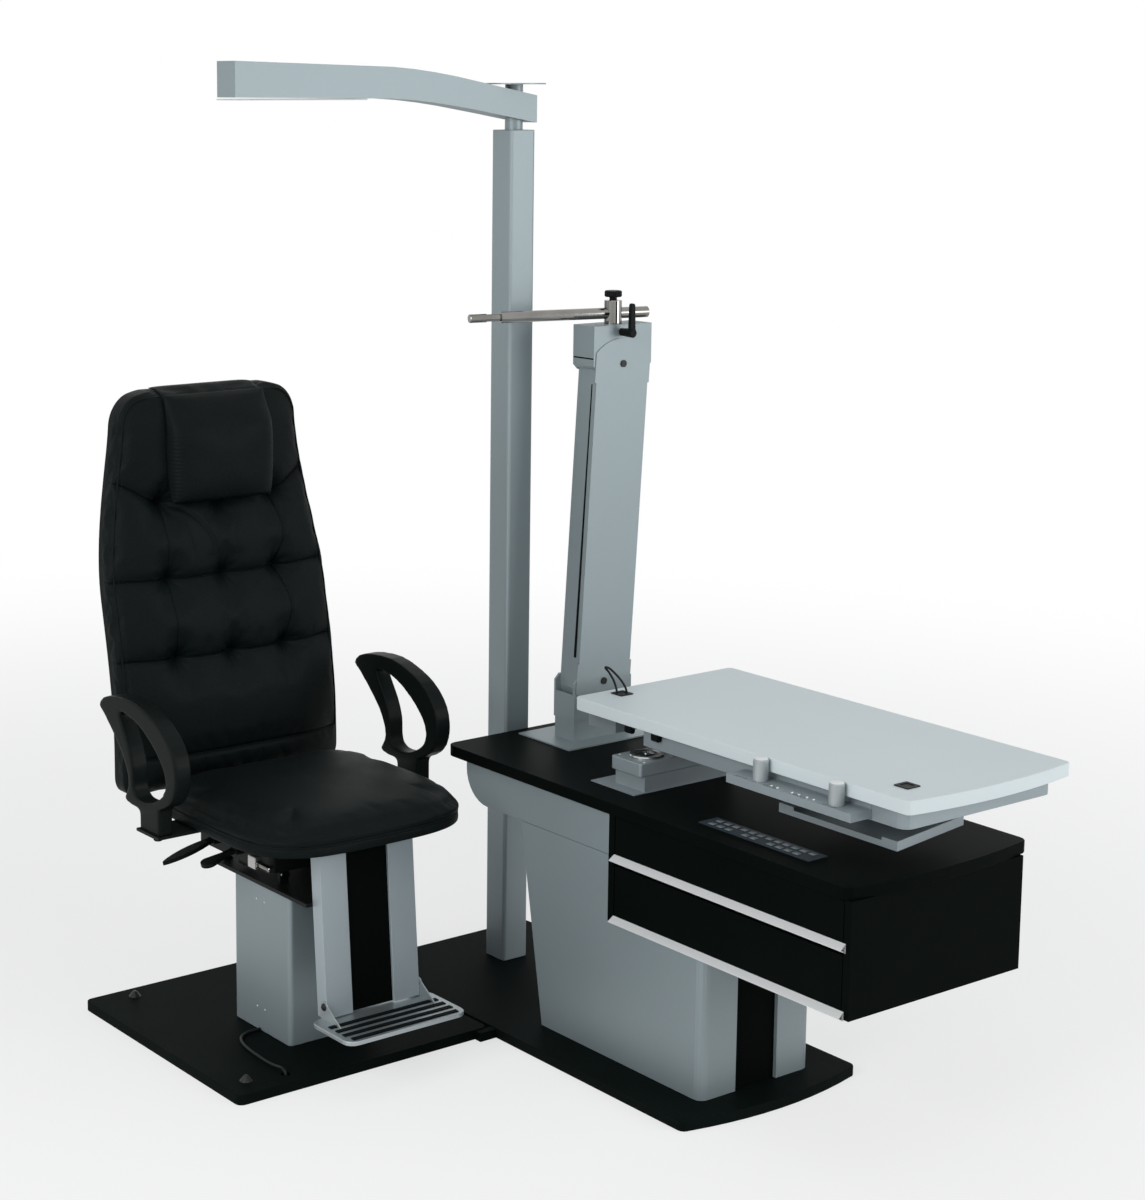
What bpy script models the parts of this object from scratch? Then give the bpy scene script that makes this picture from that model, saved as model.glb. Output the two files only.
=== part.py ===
"""Refraction unit: patient chair on a lift column beside a drawer console.

The console carries a tilting instrument arm, a swinging and sliding table,
and a lamp on a tall square column. Units are metres and Z points up. The
origin is on the floor, on the axis of the chair's lift column. The chair
faces -Y, and the console stands on the +X side of it.
"""
import bmesh
import bpy
import math
from mathutils import Matrix, Vector

for old in list(bpy.data.objects):
    bpy.data.objects.remove(old, do_unlink=True)

# Clearances and shared stock
GAP = 0.0003
FREE = 0.002
CUT = 0.02
SHEET = 0.003
BOARD = 0.018
EDGE = 0.0012

# Base plates
PLATE = 0.022
PLATE_ROUND = 0.016
CHAIR_PLATE_LEFT = -0.335
CHAIR_PLATE_RIGHT = 0.305
CHAIR_PLATE_FRONT = -0.2635
CHAIR_PLATE_BACK = 0.385
CONSOLE_PLATE_LEFT = 0.313
CONSOLE_PLATE_RIGHT = 0.803
CONSOLE_PLATE_FRONT = -0.880
CONSOLE_PLATE_BACK = 0.226
CONSOLE_PLATE_BOW = 0.028
LEVEL_SCREW = 0.0075
LEVEL_HEAD = 0.014
LEVEL_HEIGHT = 0.012
LEVEL_INSET_LEFT = 0.055
LEVEL_INSET_BACK_LEFT = 0.103
LEVEL_INSET_END = 0.045
COUPLER_WIDTH = 0.042
COUPLER_DEPTH = 0.018

# Chair lift column
COLUMN = 0.220
COLUMN_TOP = 0.362
COLUMN_ROUND = 0.010
COLUMN_WALL = 0.003
INNER_HALF = 0.094
INNER_FRONT = -0.050
INNER_BACK = 0.095
INNER_WALL = 0.004
INNER_FOOT = 0.060
INNER_RISE = 0.004

# Seat guide and frame
GUIDE_PLATE = 0.008
GUIDE_HALF = 0.135
GUIDE_BACK = 0.160
ROD_RADIUS = 0.006
ROD_X = 0.100
ROD_FRONT = -0.076
ROD_BACK = 0.155
ROD_LIFT = 0.021
LUG = 0.010
LUG_WIDTH = 0.022
LUG_HEIGHT = 0.034
BLOCK_LENGTH = 0.040
BLOCK_FRONT = 0.045
BLOCK_WIDTH = 0.026
BLOCK_HEIGHT = 0.030
FRAME_HALF = 0.150
FRAME_FRONT = -0.100
FRAME_BACK = 0.190
FRAME_HEIGHT = 0.052
FRAME_ROUND = 0.012
ARM_BAR_FRONT = 0.010
ARM_BAR_BACK = 0.100
ARM_BAR = 0.006

# Footrest
FOOT_LEAN = math.radians(4.4)
FOOT_AXIS_Y = -0.257
FOOT_AXIS_Z = 0.162
CHANNEL_WIDTH = 0.066
CHANNEL_DEPTH = 0.034
CHANNEL_OUTER = 0.119
CHANNEL_LOW = 0.026
CHANNEL_TOP = 0.330
CHANNEL_FRONT = 0.005
PANEL_SINK = 0.006
FOOT_HALF = 0.152
FOOT_FRONT = -0.392
FOOT_BACK = -0.246
FOOT_LEVEL = 0.125
FOOT_THICK = 0.009
FOOT_ROUND = 0.024
TREAD_COUNT = 3
TREAD_WIDTH = 0.013
TREAD_PITCH = 0.0265
TREAD_FIRST = 0.028
TREAD_HEIGHT = 0.002
EAR_LENGTH = 0.062
EAR_RADIUS = 0.012

# Cushions
SEAT_HALF = 0.275
SEAT_FRONT = -0.310
SEAT_BACK = 0.222
SEAT_BOTTOM = 0.500
SEAT_EDGE = 0.034
SEAT_CROWN = 0.046
SEAT_ROUND_SHARE = 0.55
SEAT_DRAW = 0.010
BACK_BOTTOM = 0.506
BACK_TOP = 1.385
BACK_DEPTH = 0.078
BACK_AXIS_Y = 0.305
BACK_RAKE = 0.093
BACK_RAKE_FROM = 0.600
BACK_RAKE_OVER = 0.650
BACK_HALF = 0.285
BACK_NARROW = 0.052
BACK_NARROW_FROM = 0.930
BACK_NARROW_OVER = 0.430
BACK_ROUND = 0.075
BACK_CROWN = 0.026
BACK_CORNER_SHARES = (0.05, 0.16, 0.36, 0.65, 1.0)
BACK_LUMBAR = 0.024
BACK_LUMBAR_SPREAD = 0.05
TUFT_X = 0.139
TUFT_ROWS = (0.800, 0.972, 1.140)
TUFT_DEPTH = 0.030
TUFT_SPREAD = 0.030
SEAM_DEPTH = 0.012
SEAM_SPREAD = 0.012
PILLOW_HALF = 0.138
PILLOW_TALL = 0.247
PILLOW_THICK = 0.052
BRACKET_HALF = 0.045
BRACKET = 0.008
BRACKET_TOP = 0.900
HINGE_Y = 0.205
HINGE_Z = 0.452
HINGE_PIN = 0.008
HINGE_EAR = 0.010

# Armrests
REST_X = 0.335
REST_WIDTH = 0.044
REST_FRONT = -0.060
REST_REAR = 0.268
REST_LOW = 0.541
REST_HIGH = 0.772
REST_STEM = 0.060
REST_OUTER_SHARES = (
    (0.985, 0.83), (0.925, 0.93), (0.772, 0.985), (0.541, 1.0), (0.346, 0.94),
    (0.187, 0.85), (0.062, 0.71), (0.0, 0.54), (0.0, 0.34), (0.072, 0.17),
    (0.23, 0.06), (0.42, 0.0), (0.60, 0.0), (0.665, 0.05), (0.62, 0.15),
    (0.618, 0.27), (0.69, 0.45), (0.81, 0.62), (0.925, 0.76))
REST_INNER_SHARES = (
    (0.705, 0.835), (0.60, 0.82), (0.474, 0.78), (0.313, 0.655), (0.185, 0.50),
    (0.140, 0.355), (0.170, 0.245), (0.26, 0.16), (0.36, 0.11), (0.46, 0.10),
    (0.52, 0.14), (0.535, 0.21), (0.54, 0.37), (0.59, 0.555), (0.656, 0.70))

# Levers under the seat
LEVER_HUB = 0.008
LEVER_PIN = 0.0035
LEVER_EAR = 0.005
LEVER_HUB_WIDTH = 0.016
PADDLE_Y = 0.020
PADDLE_REACH = 0.088
PADDLE_WIDTH = 0.036
LEAF_Y = 0.110
LEAF_REACH = 0.132
LEAF_WIDTH = 0.030
LEAF_SHARES = (0.3, 0.45, 0.6, 0.75, 0.87, 0.95)
LEVER_DROP = math.radians(14)
LEVER_THICK = 0.009

# Lamp column and arm
LAMP_X = 0.614
LAMP_Y = 0.062
LAMP_TUBE = 0.070
LAMP_TOP = 1.950
LAMP_ROUND = 0.007
POST_RADIUS = 0.020
POST_DISC = 0.071
POST_DISC_THICK = 0.003
POST_RISE = 0.100
POST_DEEP = 0.090
ARM_TIP_X = -0.140
ARM_HEEL = 0.038
ARM_RISE = 0.062
ARM_LEVEL_FROM = 0.200
ARM_TALL_TIP = 0.074
ARM_TALL_HEEL = 0.060
ARM_CLEAR = 0.016
ARM_STEPS = 14
ARM_SLOPE = 0.025
LAMP_LONG = 0.330
LAMP_MARGIN = 0.010
LAMP_PANEL = 0.003

# Desk, apron, pedestal
DESK_LEFT = 0.400
DESK_RIGHT = 0.912
DESK_FRONT = -1.215
DESK_BACK = 0.018
DESK_TOP = 0.580
DESK_BOARD = 0.025
DESK_BOW = 0.020
DESK_ROUND = 0.024
BODY_LEFT = 0.406
BODY_RIGHT = 0.715
APRON_SEAM = 0.4655
APRON_BACK = -0.050
APRON_ROUND = 0.075
PEDESTAL_TOE = -0.3255
PEDESTAL_TOP = -0.247
PEDESTAL_FRONT = -0.829
PEDESTAL_ROUND = 0.020
STRIP_WIDTH = 0.097
STRIP_SINK = 0.012

# Cabinet and drawers
CABINET_BACK = 0.886
CABINET_START = -0.537
CABINET_END = -1.222
CABINET_BOTTOM = 0.322
FRONT_BOARD = 0.016
DRAWER_WALL = 0.012
DRAWER_LENGTH = 0.400
RUNNER = 0.0125
RUNNER_HEIGHT = 0.030
HANDLE_HIGH = 0.019
HANDLE_DEEP = 0.015
HANDLE_WALL = 0.0025
HANDLE_UPPER = 0.452
HANDLE_LOWER = 0.319
HANDLE_OVER = 0.008
DRAWER_SLIT = 0.006
KEYPAD_LEFT = 0.455
KEYPAD_WIDTH = 0.053
KEYPAD_START = -0.753
KEYPAD_LENGTH = 0.307
KEYPAD_THICK = 0.002

# Instrument arm
ARM_X = 0.7205
ARM_FRONT = -0.1480
ARM_BACK = -0.0767
PIVOT_LOW = 0.714
PIVOT_APART = 0.7223
ARM_LEAN = math.radians(3.41)
FORK_HALF = 0.0845
FORK_WALL = 0.006
FORK_UNDER = 0.084
FORK_SIDE_OPEN = 0.024
HEAD_OVER = 0.087
HEAD_SIDE_OPEN = -0.010
CHEEK = 0.006
CHEEK_OVER = 0.014
CHEEK_CORNER = 0.012
COVER_HALF = 0.0755
COVER_END = 0.0795
COVER_SHOULDER = 0.0235
COVER_RISE = 0.034
COVER_THICK = 0.002
COVER_FLANGE = 0.011
COVER_FLANGE_FROM = 0.043
BODY_HALF = 0.0715
BODY_WALL = 0.0035
PIN_RADIUS = 0.0055
PIN_HEAD = 0.0080
PIN_HEAD_THICK = 0.0025
PIN_BOSS = 0.013
LINK_WIDTH = 0.018
LINK_THICK = 0.006
LINK_OFFSET = 0.040
LINK_PIN = 0.004
LINK_PLAY = 0.0008
LINK_STAND = 0.010
BASE_PLATE_HALF = 0.137
BASE_PLATE_BACK = 0.062
BASE_PLATE_FRONT = 0.047
BASE_PLATE_THICK = 0.003
SLEEVE_RADIUS = 0.020
SLEEVE_HEIGHT = 0.052
SLEEVE_SPIGOT = 0.011
SPIGOT_DEEP = 0.012
ROD_THICK = 0.025
ROD_LEVEL = 0.023
ROD_TAIL = 0.087
ROD_REACH = 0.355
TIP_NECK = 0.034
TIP_END = 0.040
TIP_NECK_SHARE = 0.64
TIP_END_SHARE = 0.76
ROD_YAW = math.radians(167.5)
KNOB_RADIUS = 0.0195
KNOB_HEIGHT = 0.014
KNOB_STAND = 0.007
KNOB_NECK = 0.0085
KNOB_FLUTES = 10
FLUTE = 0.0035
CLAMP_SIDE = 0.0043
CLAMP_RISE = 0.0710
CLAMP_HUB = 0.0085
CLAMP_STAND = 0.040
CLAMP_REACH = 0.066
CLAMP_WIDE = 0.0145
CLAMP_NARROW = 0.0105
CLAMP_BOLT = 0.0045

# Instrument table
TABLE_LEFT = 0.522
TABLE_RIGHT = 0.986
TABLE_FRONT = -1.249
TABLE_BACK = -0.284
TABLE_TOP = 0.734
TABLE_BOARD = 0.028
TABLE_BOW = 0.018
TURN_X = 0.547
TURN_Y = -0.491
BOX_HALF = 0.046
BOX_LEFT = 0.503
BOX_RIGHT = 0.770
BOX_TOP = 0.6165
BOX_OVER = 0.013
FLANGE_LEFT = 0.472
FLANGE_SIDE = 0.045
FLANGE = 0.002
SWING_TOP = 0.645
SWING_ROUND = 0.006
TURN_PIN = 0.015
RING_RADIUS = 0.037
RING_HOLE = 0.024
RING_HEIGHT = 0.005
RAIL_LEFT = 0.705
RAIL_WIDTH = 0.060
RAIL_BOTTOM = 0.6655
RAIL_HEIGHT = 0.020
RAIL_START = -0.430
RAIL_END = -1.100
BEAM_X = 0.540
BEAM_THICK = 0.022
BEAM_LOW = 0.668
BEAM_START = -0.490
LEDGE_START = -0.800
LEDGE_LEFT = 0.484
LEDGE_BOTTOM = 0.672
LEDGE_TOP = 0.6895
HOUSING_START = -1.118
HOUSING_END = -1.224
HOUSING_RIGHT = 0.963
HOUSING_ROUND = 0.022
SLOT_COUNT = 4
SLOT_LENGTH = 0.034
SLOT_WIDTH = 0.005
SLOT_PITCH = 0.055
GUIDE_RADIUS = 0.0155
GUIDE_RISE = 0.044
GUIDE_INSET = 0.075
GUIDE_APART = 0.205
TRAY_LEFT = 0.558
TRAY_RIGHT = 0.790
TRAY_START = -0.876
TRAY_END = -1.190
TRAY_SKEW = 0.040
TRAY_BOTTOM = 0.616
TRAY_LIP = 0.019
TRAY_NOTCH = 0.007
TRAY_NOTCH_INSET = 0.040
GROMMET = 0.036
GROMMET_HOLE = 0.026
GROMMET_THICK = 0.002
GROMMET_INSET_SIDE = 0.090
GROMMET_INSET_END = 0.042
GROMMET_INSET_FAR = 0.075
CABLE = 0.0025
CARRIAGE_START = -0.520
REAR_BOX_INSET = 0.060
REAR_BOX_LOW = 0.657
REAR_BOX_START = -0.262
REAR_BOX_END = -0.352

# Floor cable
FLOOR_CABLE = 0.0035
CABLE_START_Y = 0.006
CABLE_END = (-0.195, -0.222)
CABLE_BEND_SHARE = 0.36

UNIT = bpy.data.collections.new("refraction_unit")
CUTTERS = bpy.data.collections.new("cutters")
bpy.context.scene.collection.children.link(UNIT)
bpy.context.scene.collection.children.link(CUTTERS)


def finish(name, colour, roughness, metallic):
    """Return a Principled material."""
    material = bpy.data.materials.new(name)
    material.use_nodes = True
    shader = material.node_tree.nodes["Principled BSDF"]
    shader.inputs["Base Color"].default_value = (*colour, 1)
    shader.inputs["Roughness"].default_value = roughness
    shader.inputs["Metallic"].default_value = metallic
    return material


SILVER = (0.42, 0.45, 0.47)
COAL = (0.018, 0.02, 0.021)
DARK = (0.05, 0.055, 0.056)
WHITE = (0.82, 0.83, 0.84)
CHROME = (0.75, 0.75, 0.76)


def own_finish(node, colour, roughness=0.5, metallic=0.0):
    return finish(node + "_finish", colour, roughness, metallic)


def add(node, mesh, material, place=(0, 0, 0), turn=(0, 0, 0)):
    """Put a mesh into the unit as a named sub-part."""
    thing = bpy.data.objects.new(node, mesh)
    thing.location = place
    thing.rotation_euler = turn
    UNIT.objects.link(thing)
    if material is not None:
        mesh.materials.append(material)
    return thing


def shade(thing, degrees=35):
    thing.data.shade_smooth()
    thing.data.set_sharp_from_angle(angle=math.radians(degrees))


def soften(thing, width, segments=2):
    """Round the sharp edges of a piece."""
    bevel = thing.modifiers.new("Rounding", "BEVEL")
    bevel.width = width
    bevel.segments = segments
    bevel.limit_method = "ANGLE"
    bevel.angle_limit = math.radians(40)


def box_mesh(low, high):
    """A box from a cube, with its centre returned as its place."""
    mesh = bpy.data.meshes.new("box")
    bm = bmesh.new()
    bmesh.ops.create_cube(bm, size=1)
    size = [b - a for a, b in zip(low, high)]
    bmesh.ops.scale(bm, vec=size, verts=bm.verts)
    bm.to_mesh(mesh)
    bm.free()
    centre = [(a + b) / 2 for a, b in zip(low, high)]
    return mesh, centre


def box(node, low, high, material, rounding=0, segments=2):
    mesh, centre = box_mesh(low, high)
    thing = add(node, mesh, material, centre)
    if rounding:
        soften(thing, rounding, segments)
    return thing


AXIS_TURN = {
    "Z": Matrix.Identity(4),
    "Y": Matrix(((1, 0, 0, 0), (0, 0, 1, 0), (0, 1, 0, 0), (0, 0, 0, 1))),
    "X": Matrix(((0, 0, 1, 0), (1, 0, 0, 0), (0, 1, 0, 0), (0, 0, 0, 1))),
}


def prism_mesh(outlines, start, end, axis="Z"):
    """Extrude flat outlines from start to end along an axis.

    The outlines are (x, y) for Z, (x, z) for Y and (y, z) for X.
    """
    curve = bpy.data.curves.new("outline", "CURVE")
    curve.dimensions = "2D"
    curve.fill_mode = "BOTH"
    curve.extrude = abs(end - start) / 2
    for outline in outlines:
        spline = curve.splines.new("POLY")
        spline.points.add(len(outline) - 1)
        for point, (a, b) in zip(spline.points, outline):
            point.co = (a, b, 0, 1)
        spline.use_cyclic_u = True
    source = bpy.data.objects.new("outline", curve)
    UNIT.objects.link(source)
    graph = bpy.context.evaluated_depsgraph_get()
    mesh = bpy.data.meshes.new_from_object(source.evaluated_get(graph))
    bpy.data.objects.remove(source, do_unlink=True)
    bpy.data.curves.remove(curve)
    bm = bmesh.new()
    bm.from_mesh(mesh)
    bmesh.ops.translate(bm, vec=(0, 0, (start + end) / 2), verts=bm.verts)
    bmesh.ops.transform(bm, matrix=AXIS_TURN[axis], verts=bm.verts)
    bmesh.ops.remove_doubles(bm, verts=bm.verts, dist=GAP / 10)
    bmesh.ops.dissolve_limit(bm, angle_limit=math.radians(1), verts=bm.verts, edges=bm.edges)
    bmesh.ops.recalc_face_normals(bm, faces=bm.faces)
    bm.to_mesh(mesh)
    bm.free()
    mesh.materials.clear()
    return mesh


def recentre(thing):
    """Move the origin of a mesh built in place to its middle."""
    middle = sum((Vector(corner) for corner in thing.bound_box), Vector()) / 8
    thing.data.transform(Matrix.Translation(-middle))
    thing.location = thing.location + middle


def prism(node, outlines, start, end, material, axis="Z", rounding=0, segments=2):
    thing = add(node, prism_mesh(outlines, start, end, axis), material)
    recentre(thing)
    if rounding:
        soften(thing, rounding, segments)
    return thing


def round_mesh(radius, start, end, axis="Z", sides=32):
    """A cylinder between two places along an axis."""
    mesh = bpy.data.meshes.new("round")
    bm = bmesh.new()
    bmesh.ops.create_cone(
        bm, cap_ends=True, segments=sides, radius1=radius, radius2=radius, depth=abs(end - start))
    bmesh.ops.translate(bm, vec=(0, 0, (start + end) / 2), verts=bm.verts)
    bmesh.ops.transform(bm, matrix=AXIS_TURN[axis], verts=bm.verts)
    bmesh.ops.recalc_face_normals(bm, faces=bm.faces)
    bm.to_mesh(mesh)
    bm.free()
    return mesh


def turned_mesh(profile, steps=32):
    """Turn a profile, given top to bottom at +X, about Z."""
    mesh = bpy.data.meshes.new("turned")
    bm = bmesh.new()
    points = [bm.verts.new((radius, 0, height)) for radius, height in profile]
    for first, second in zip(points, points[1:]):
        bm.edges.new((first, second))
    bm.to_mesh(mesh)
    bm.free()
    source = bpy.data.objects.new("turned", mesh)
    UNIT.objects.link(source)
    screw = source.modifiers.new("Turn", "SCREW")
    screw.steps = steps
    screw.render_steps = steps
    screw.use_merge_vertices = True
    screw.merge_threshold = GAP / 10
    graph = bpy.context.evaluated_depsgraph_get()
    result = bpy.data.meshes.new_from_object(source.evaluated_get(graph))
    bpy.data.objects.remove(source, do_unlink=True)
    bm = bmesh.new()
    bm.from_mesh(result)
    bmesh.ops.remove_doubles(bm, verts=bm.verts, dist=GAP / 10)
    bmesh.ops.recalc_face_normals(bm, faces=bm.faces)
    bm.to_mesh(result)
    bm.free()
    return result


def boolean(thing, mesh, operation="DIFFERENCE", place=(0, 0, 0), turn=(0, 0, 0)):
    """Cut or join a mesh given in world places, as a live modifier."""
    cutter = bpy.data.objects.new(thing.name + "_tool", mesh)
    cutter.location = place
    cutter.rotation_euler = turn
    CUTTERS.objects.link(cutter)
    cutter.hide_render = True
    cutter.display_type = "WIRE"
    modifier = thing.modifiers.new("Boolean", "BOOLEAN")
    modifier.operation = operation
    modifier.object = cutter
    return cutter


def cut_box(thing, low, high):
    mesh, centre = box_mesh(low, high)
    return boolean(thing, mesh, "DIFFERENCE", centre)


def join_box(thing, low, high):
    mesh, centre = box_mesh(low, high)
    return boolean(thing, mesh, "UNION", centre)


def cut_round(thing, radius, start, end, axis, place, sides=24):
    """Bore a hole along an axis through a place."""
    return boolean(thing, round_mesh(radius, start, end, axis, sides), "DIFFERENCE", place)


def arc(centre, radius, first, last, steps):
    """Points on an arc, angles in degrees."""
    points = []
    for step in range(steps + 1):
        angle = math.radians(first + (last - first) * step / steps)
        points.append((centre[0] + radius * math.cos(angle), centre[1] + radius * math.sin(angle)))
    return points


def rounded(left, right, low, high, radius, steps=4):
    """A rectangle with round corners."""
    return (
        arc((right - radius, low + radius), radius, -90, 0, steps)
        + arc((right - radius, high - radius), radius, 0, 90, steps)
        + arc((left + radius, high - radius), radius, 90, 180, steps)
        + arc((left + radius, low + radius), radius, 180, 270, steps))


def bowed(left, right, low, high, radius, bow, steps=10):
    """A rounded rectangle whose low side bows outwards."""
    points = []
    for step in range(steps + 1):
        share = step / steps
        points.append((left + radius + (right - left - 2 * radius) * share,
                       low - bow * 4 * share * (1 - share)))
    corners = (
        arc((right - radius, low + radius), radius, -75, 0, 3)
        + arc((right - radius, high - radius), radius, 0, 90, 4)
        + arc((left + radius, high - radius), radius, 90, 180, 4)
        + arc((left + radius, low + radius), radius, 180, 255, 3))
    return points + corners


def smooth_step(value):
    value = max(0.0, min(1.0, value))
    return value * value * (3 - 2 * value)


def smooth_points(points, steps, closed=False):
    """A Catmull-Rom curve through points, with steps in each span."""
    vectors = [Vector(point) for point in points]
    count = len(vectors)
    spans = count if closed else count - 1
    result = []
    for span in range(spans):
        if closed:
            before, first = vectors[span - 1], vectors[span]
            second, after = vectors[(span + 1) % count], vectors[(span + 2) % count]
        else:
            before = vectors[max(span - 1, 0)]
            first, second = vectors[span], vectors[span + 1]
            after = vectors[min(span + 2, count - 1)]
        for step in range(steps):
            t = step / steps
            point = (2 * first + (second - before) * t
                     + (2 * before - 5 * first + 4 * second - after) * t * t
                     + (3 * first - before - 3 * second + after) * t * t * t) / 2
            result.append(tuple(point))
    if not closed:
        result.append(tuple(vectors[-1]))
    return result


def tube(node, points, radius, material, resolution=2):
    """A round tube along points."""
    curve = bpy.data.curves.new(node, "CURVE")
    curve.dimensions = "3D"
    curve.bevel_depth = radius
    curve.bevel_resolution = resolution
    curve.use_fill_caps = True
    spline = curve.splines.new("POLY")
    spline.points.add(len(points) - 1)
    for target, point in zip(spline.points, points):
        target.co = (*point, 1)
    thing = bpy.data.objects.new(node, curve)
    curve.materials.append(material)
    UNIT.objects.link(thing)
    return thing


def lattice_block(stations):
    """A cube of side 2 cut at stations along each axis, for a soft form."""
    mesh = bpy.data.meshes.new("block")
    bm = bmesh.new()
    bmesh.ops.create_cube(bm, size=2)
    for axis, places in enumerate(stations):
        normal = [0, 0, 0]
        normal[axis] = 1
        for place in places:
            point = [0, 0, 0]
            point[axis] = place
            geometry = list(bm.verts) + list(bm.edges) + list(bm.faces)
            bmesh.ops.bisect_plane(bm, geom=geometry, plane_co=point, plane_no=normal)
    bm.to_mesh(mesh)
    bm.free()
    return mesh


def even(count):
    """Stations that cut a side into count parts."""
    return [-1 + 2 * step / count for step in range(1, count)]


def build_base():
    """The two floor plates, their coupler and the levelling screws."""
    chair = prism(
        "chair_base_plate",
        [rounded(CHAIR_PLATE_LEFT, CHAIR_PLATE_RIGHT, CHAIR_PLATE_FRONT, CHAIR_PLATE_BACK,
                 PLATE_ROUND)],
        0, PLATE, own_finish("chair_base_plate", DARK, 0.6), rounding=EDGE)
    console = prism(
        "console_base_plate",
        [bowed(CONSOLE_PLATE_LEFT, CONSOLE_PLATE_RIGHT, CONSOLE_PLATE_FRONT, CONSOLE_PLATE_BACK,
               PLATE_ROUND, CONSOLE_PLATE_BOW)],
        0, PLATE, own_finish("console_base_plate", DARK, 0.6), rounding=EDGE)
    join_box(console,
             (CONSOLE_PLATE_LEFT - GAP - COUPLER_WIDTH, CHAIR_PLATE_FRONT - GAP - COUPLER_DEPTH,
              0),
             (CONSOLE_PLATE_LEFT + FREE, CHAIR_PLATE_FRONT - GAP, PLATE - FREE))
    places = [
        (CHAIR_PLATE_LEFT + LEVEL_INSET_BACK_LEFT, CHAIR_PLATE_BACK - LEVEL_INSET_END),
        (CHAIR_PLATE_LEFT + LEVEL_INSET_LEFT, CHAIR_PLATE_FRONT + LEVEL_INSET_END * 1.35)]
    seat = PLATE + GAP
    profile = [
        (0, seat + LEVEL_HEIGHT), (LEVEL_SCREW / 2, seat + LEVEL_HEIGHT), (LEVEL_HEAD, seat),
        (LEVEL_SCREW - GAP, seat), (LEVEL_SCREW - GAP, FREE), (0, FREE)]
    for number, (x, y) in enumerate(places, 1):
        node = "levelling_screw_" + str(number)
        cut_round(chair, LEVEL_SCREW, -CUT, PLATE + CUT, "Z", (x, y, 0), 16)
        shade(add(node, turned_mesh(profile, 16), own_finish(node, SILVER, 0.35, 0.8), (x, y, 0)))


def build_column():
    """The fixed column housing, open inside for the lifting column."""
    half = COLUMN / 2
    bottom = PLATE + GAP
    housing = prism(
        "chair_column_housing", [rounded(-half, half, -half, half, COLUMN_ROUND)],
        bottom, COLUMN_TOP, own_finish("chair_column_housing", SILVER, 0.45, 0.3),
        rounding=EDGE, segments=1)
    wall = COLUMN_WALL
    boolean(housing, prism_mesh(
        [rounded(-half + wall, half - wall, -half + wall, half - wall, COLUMN_ROUND - wall)],
        bottom - CUT, COLUMN_TOP - wall))
    cut_box(housing, (-INNER_HALF - GAP, INNER_FRONT - GAP, COLUMN_TOP - CUT),
            (INNER_HALF + GAP, INNER_BACK + GAP, COLUMN_TOP + CUT))


def build_lift():
    """The inner column, the guide plate and the rods."""
    top = COLUMN_TOP + INNER_RISE
    inner = box("lift_inner_column", (-INNER_HALF, INNER_FRONT, INNER_FOOT),
                (INNER_HALF, INNER_BACK, top), own_finish("lift_inner_column", SILVER, 0.4, 0.4))
    cut_box(inner, (-INNER_HALF + INNER_WALL, INNER_FRONT + INNER_WALL, INNER_FOOT - CUT),
            (INNER_HALF - INNER_WALL, INNER_BACK - INNER_WALL, top - INNER_WALL))
    floor = top + GAP
    deck = floor + GUIDE_PLATE
    front = channel_back(floor) + FREE / 2
    plate = box("guide_plate", (-GUIDE_HALF, front, floor), (GUIDE_HALF, GUIDE_BACK, deck),
                own_finish("guide_plate", COAL, 0.5))
    level = deck + ROD_LIFT
    for side in (-1, 1):
        for start in (ROD_FRONT, ROD_BACK - LUG):
            x = side * ROD_X
            join_box(plate, (x - LUG_WIDTH / 2, start, floor + GUIDE_PLATE / 2),
                     (x + LUG_WIDTH / 2, start + LUG, deck + LUG_HEIGHT))
            cut_round(plate, ROD_RADIUS + GAP, start - FREE, start + LUG + FREE, "Y",
                      (x, 0, level), 16)
    for name, side in (("guide_rod_left", -1), ("guide_rod_right", 1)):
        profile = [
            (0, ROD_BACK + FREE), (ROD_RADIUS, ROD_BACK + FREE), (ROD_RADIUS, ROD_FRONT - GAP),
            (ROD_RADIUS * 1.7, ROD_FRONT - GAP), (ROD_RADIUS * 1.7, ROD_FRONT - ROD_RADIUS),
            (0, ROD_FRONT - ROD_RADIUS)]
        rod = turned_mesh(profile, 16)
        rod.transform(AXIS_TURN["Y"])
        rod.flip_normals()
        shade(add(name, rod, own_finish(name, CHROME, 0.15, 1.0), (side * ROD_X, 0, level)))


def channel_back(height):
    """Where the rear of the footrest channels is at a height."""
    rise = height - FOOT_AXIS_Z
    return (FOOT_AXIS_Y - CHANNEL_FRONT + rise * math.tan(FOOT_LEAN)
            + CHANNEL_DEPTH / math.cos(FOOT_LEAN))


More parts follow.
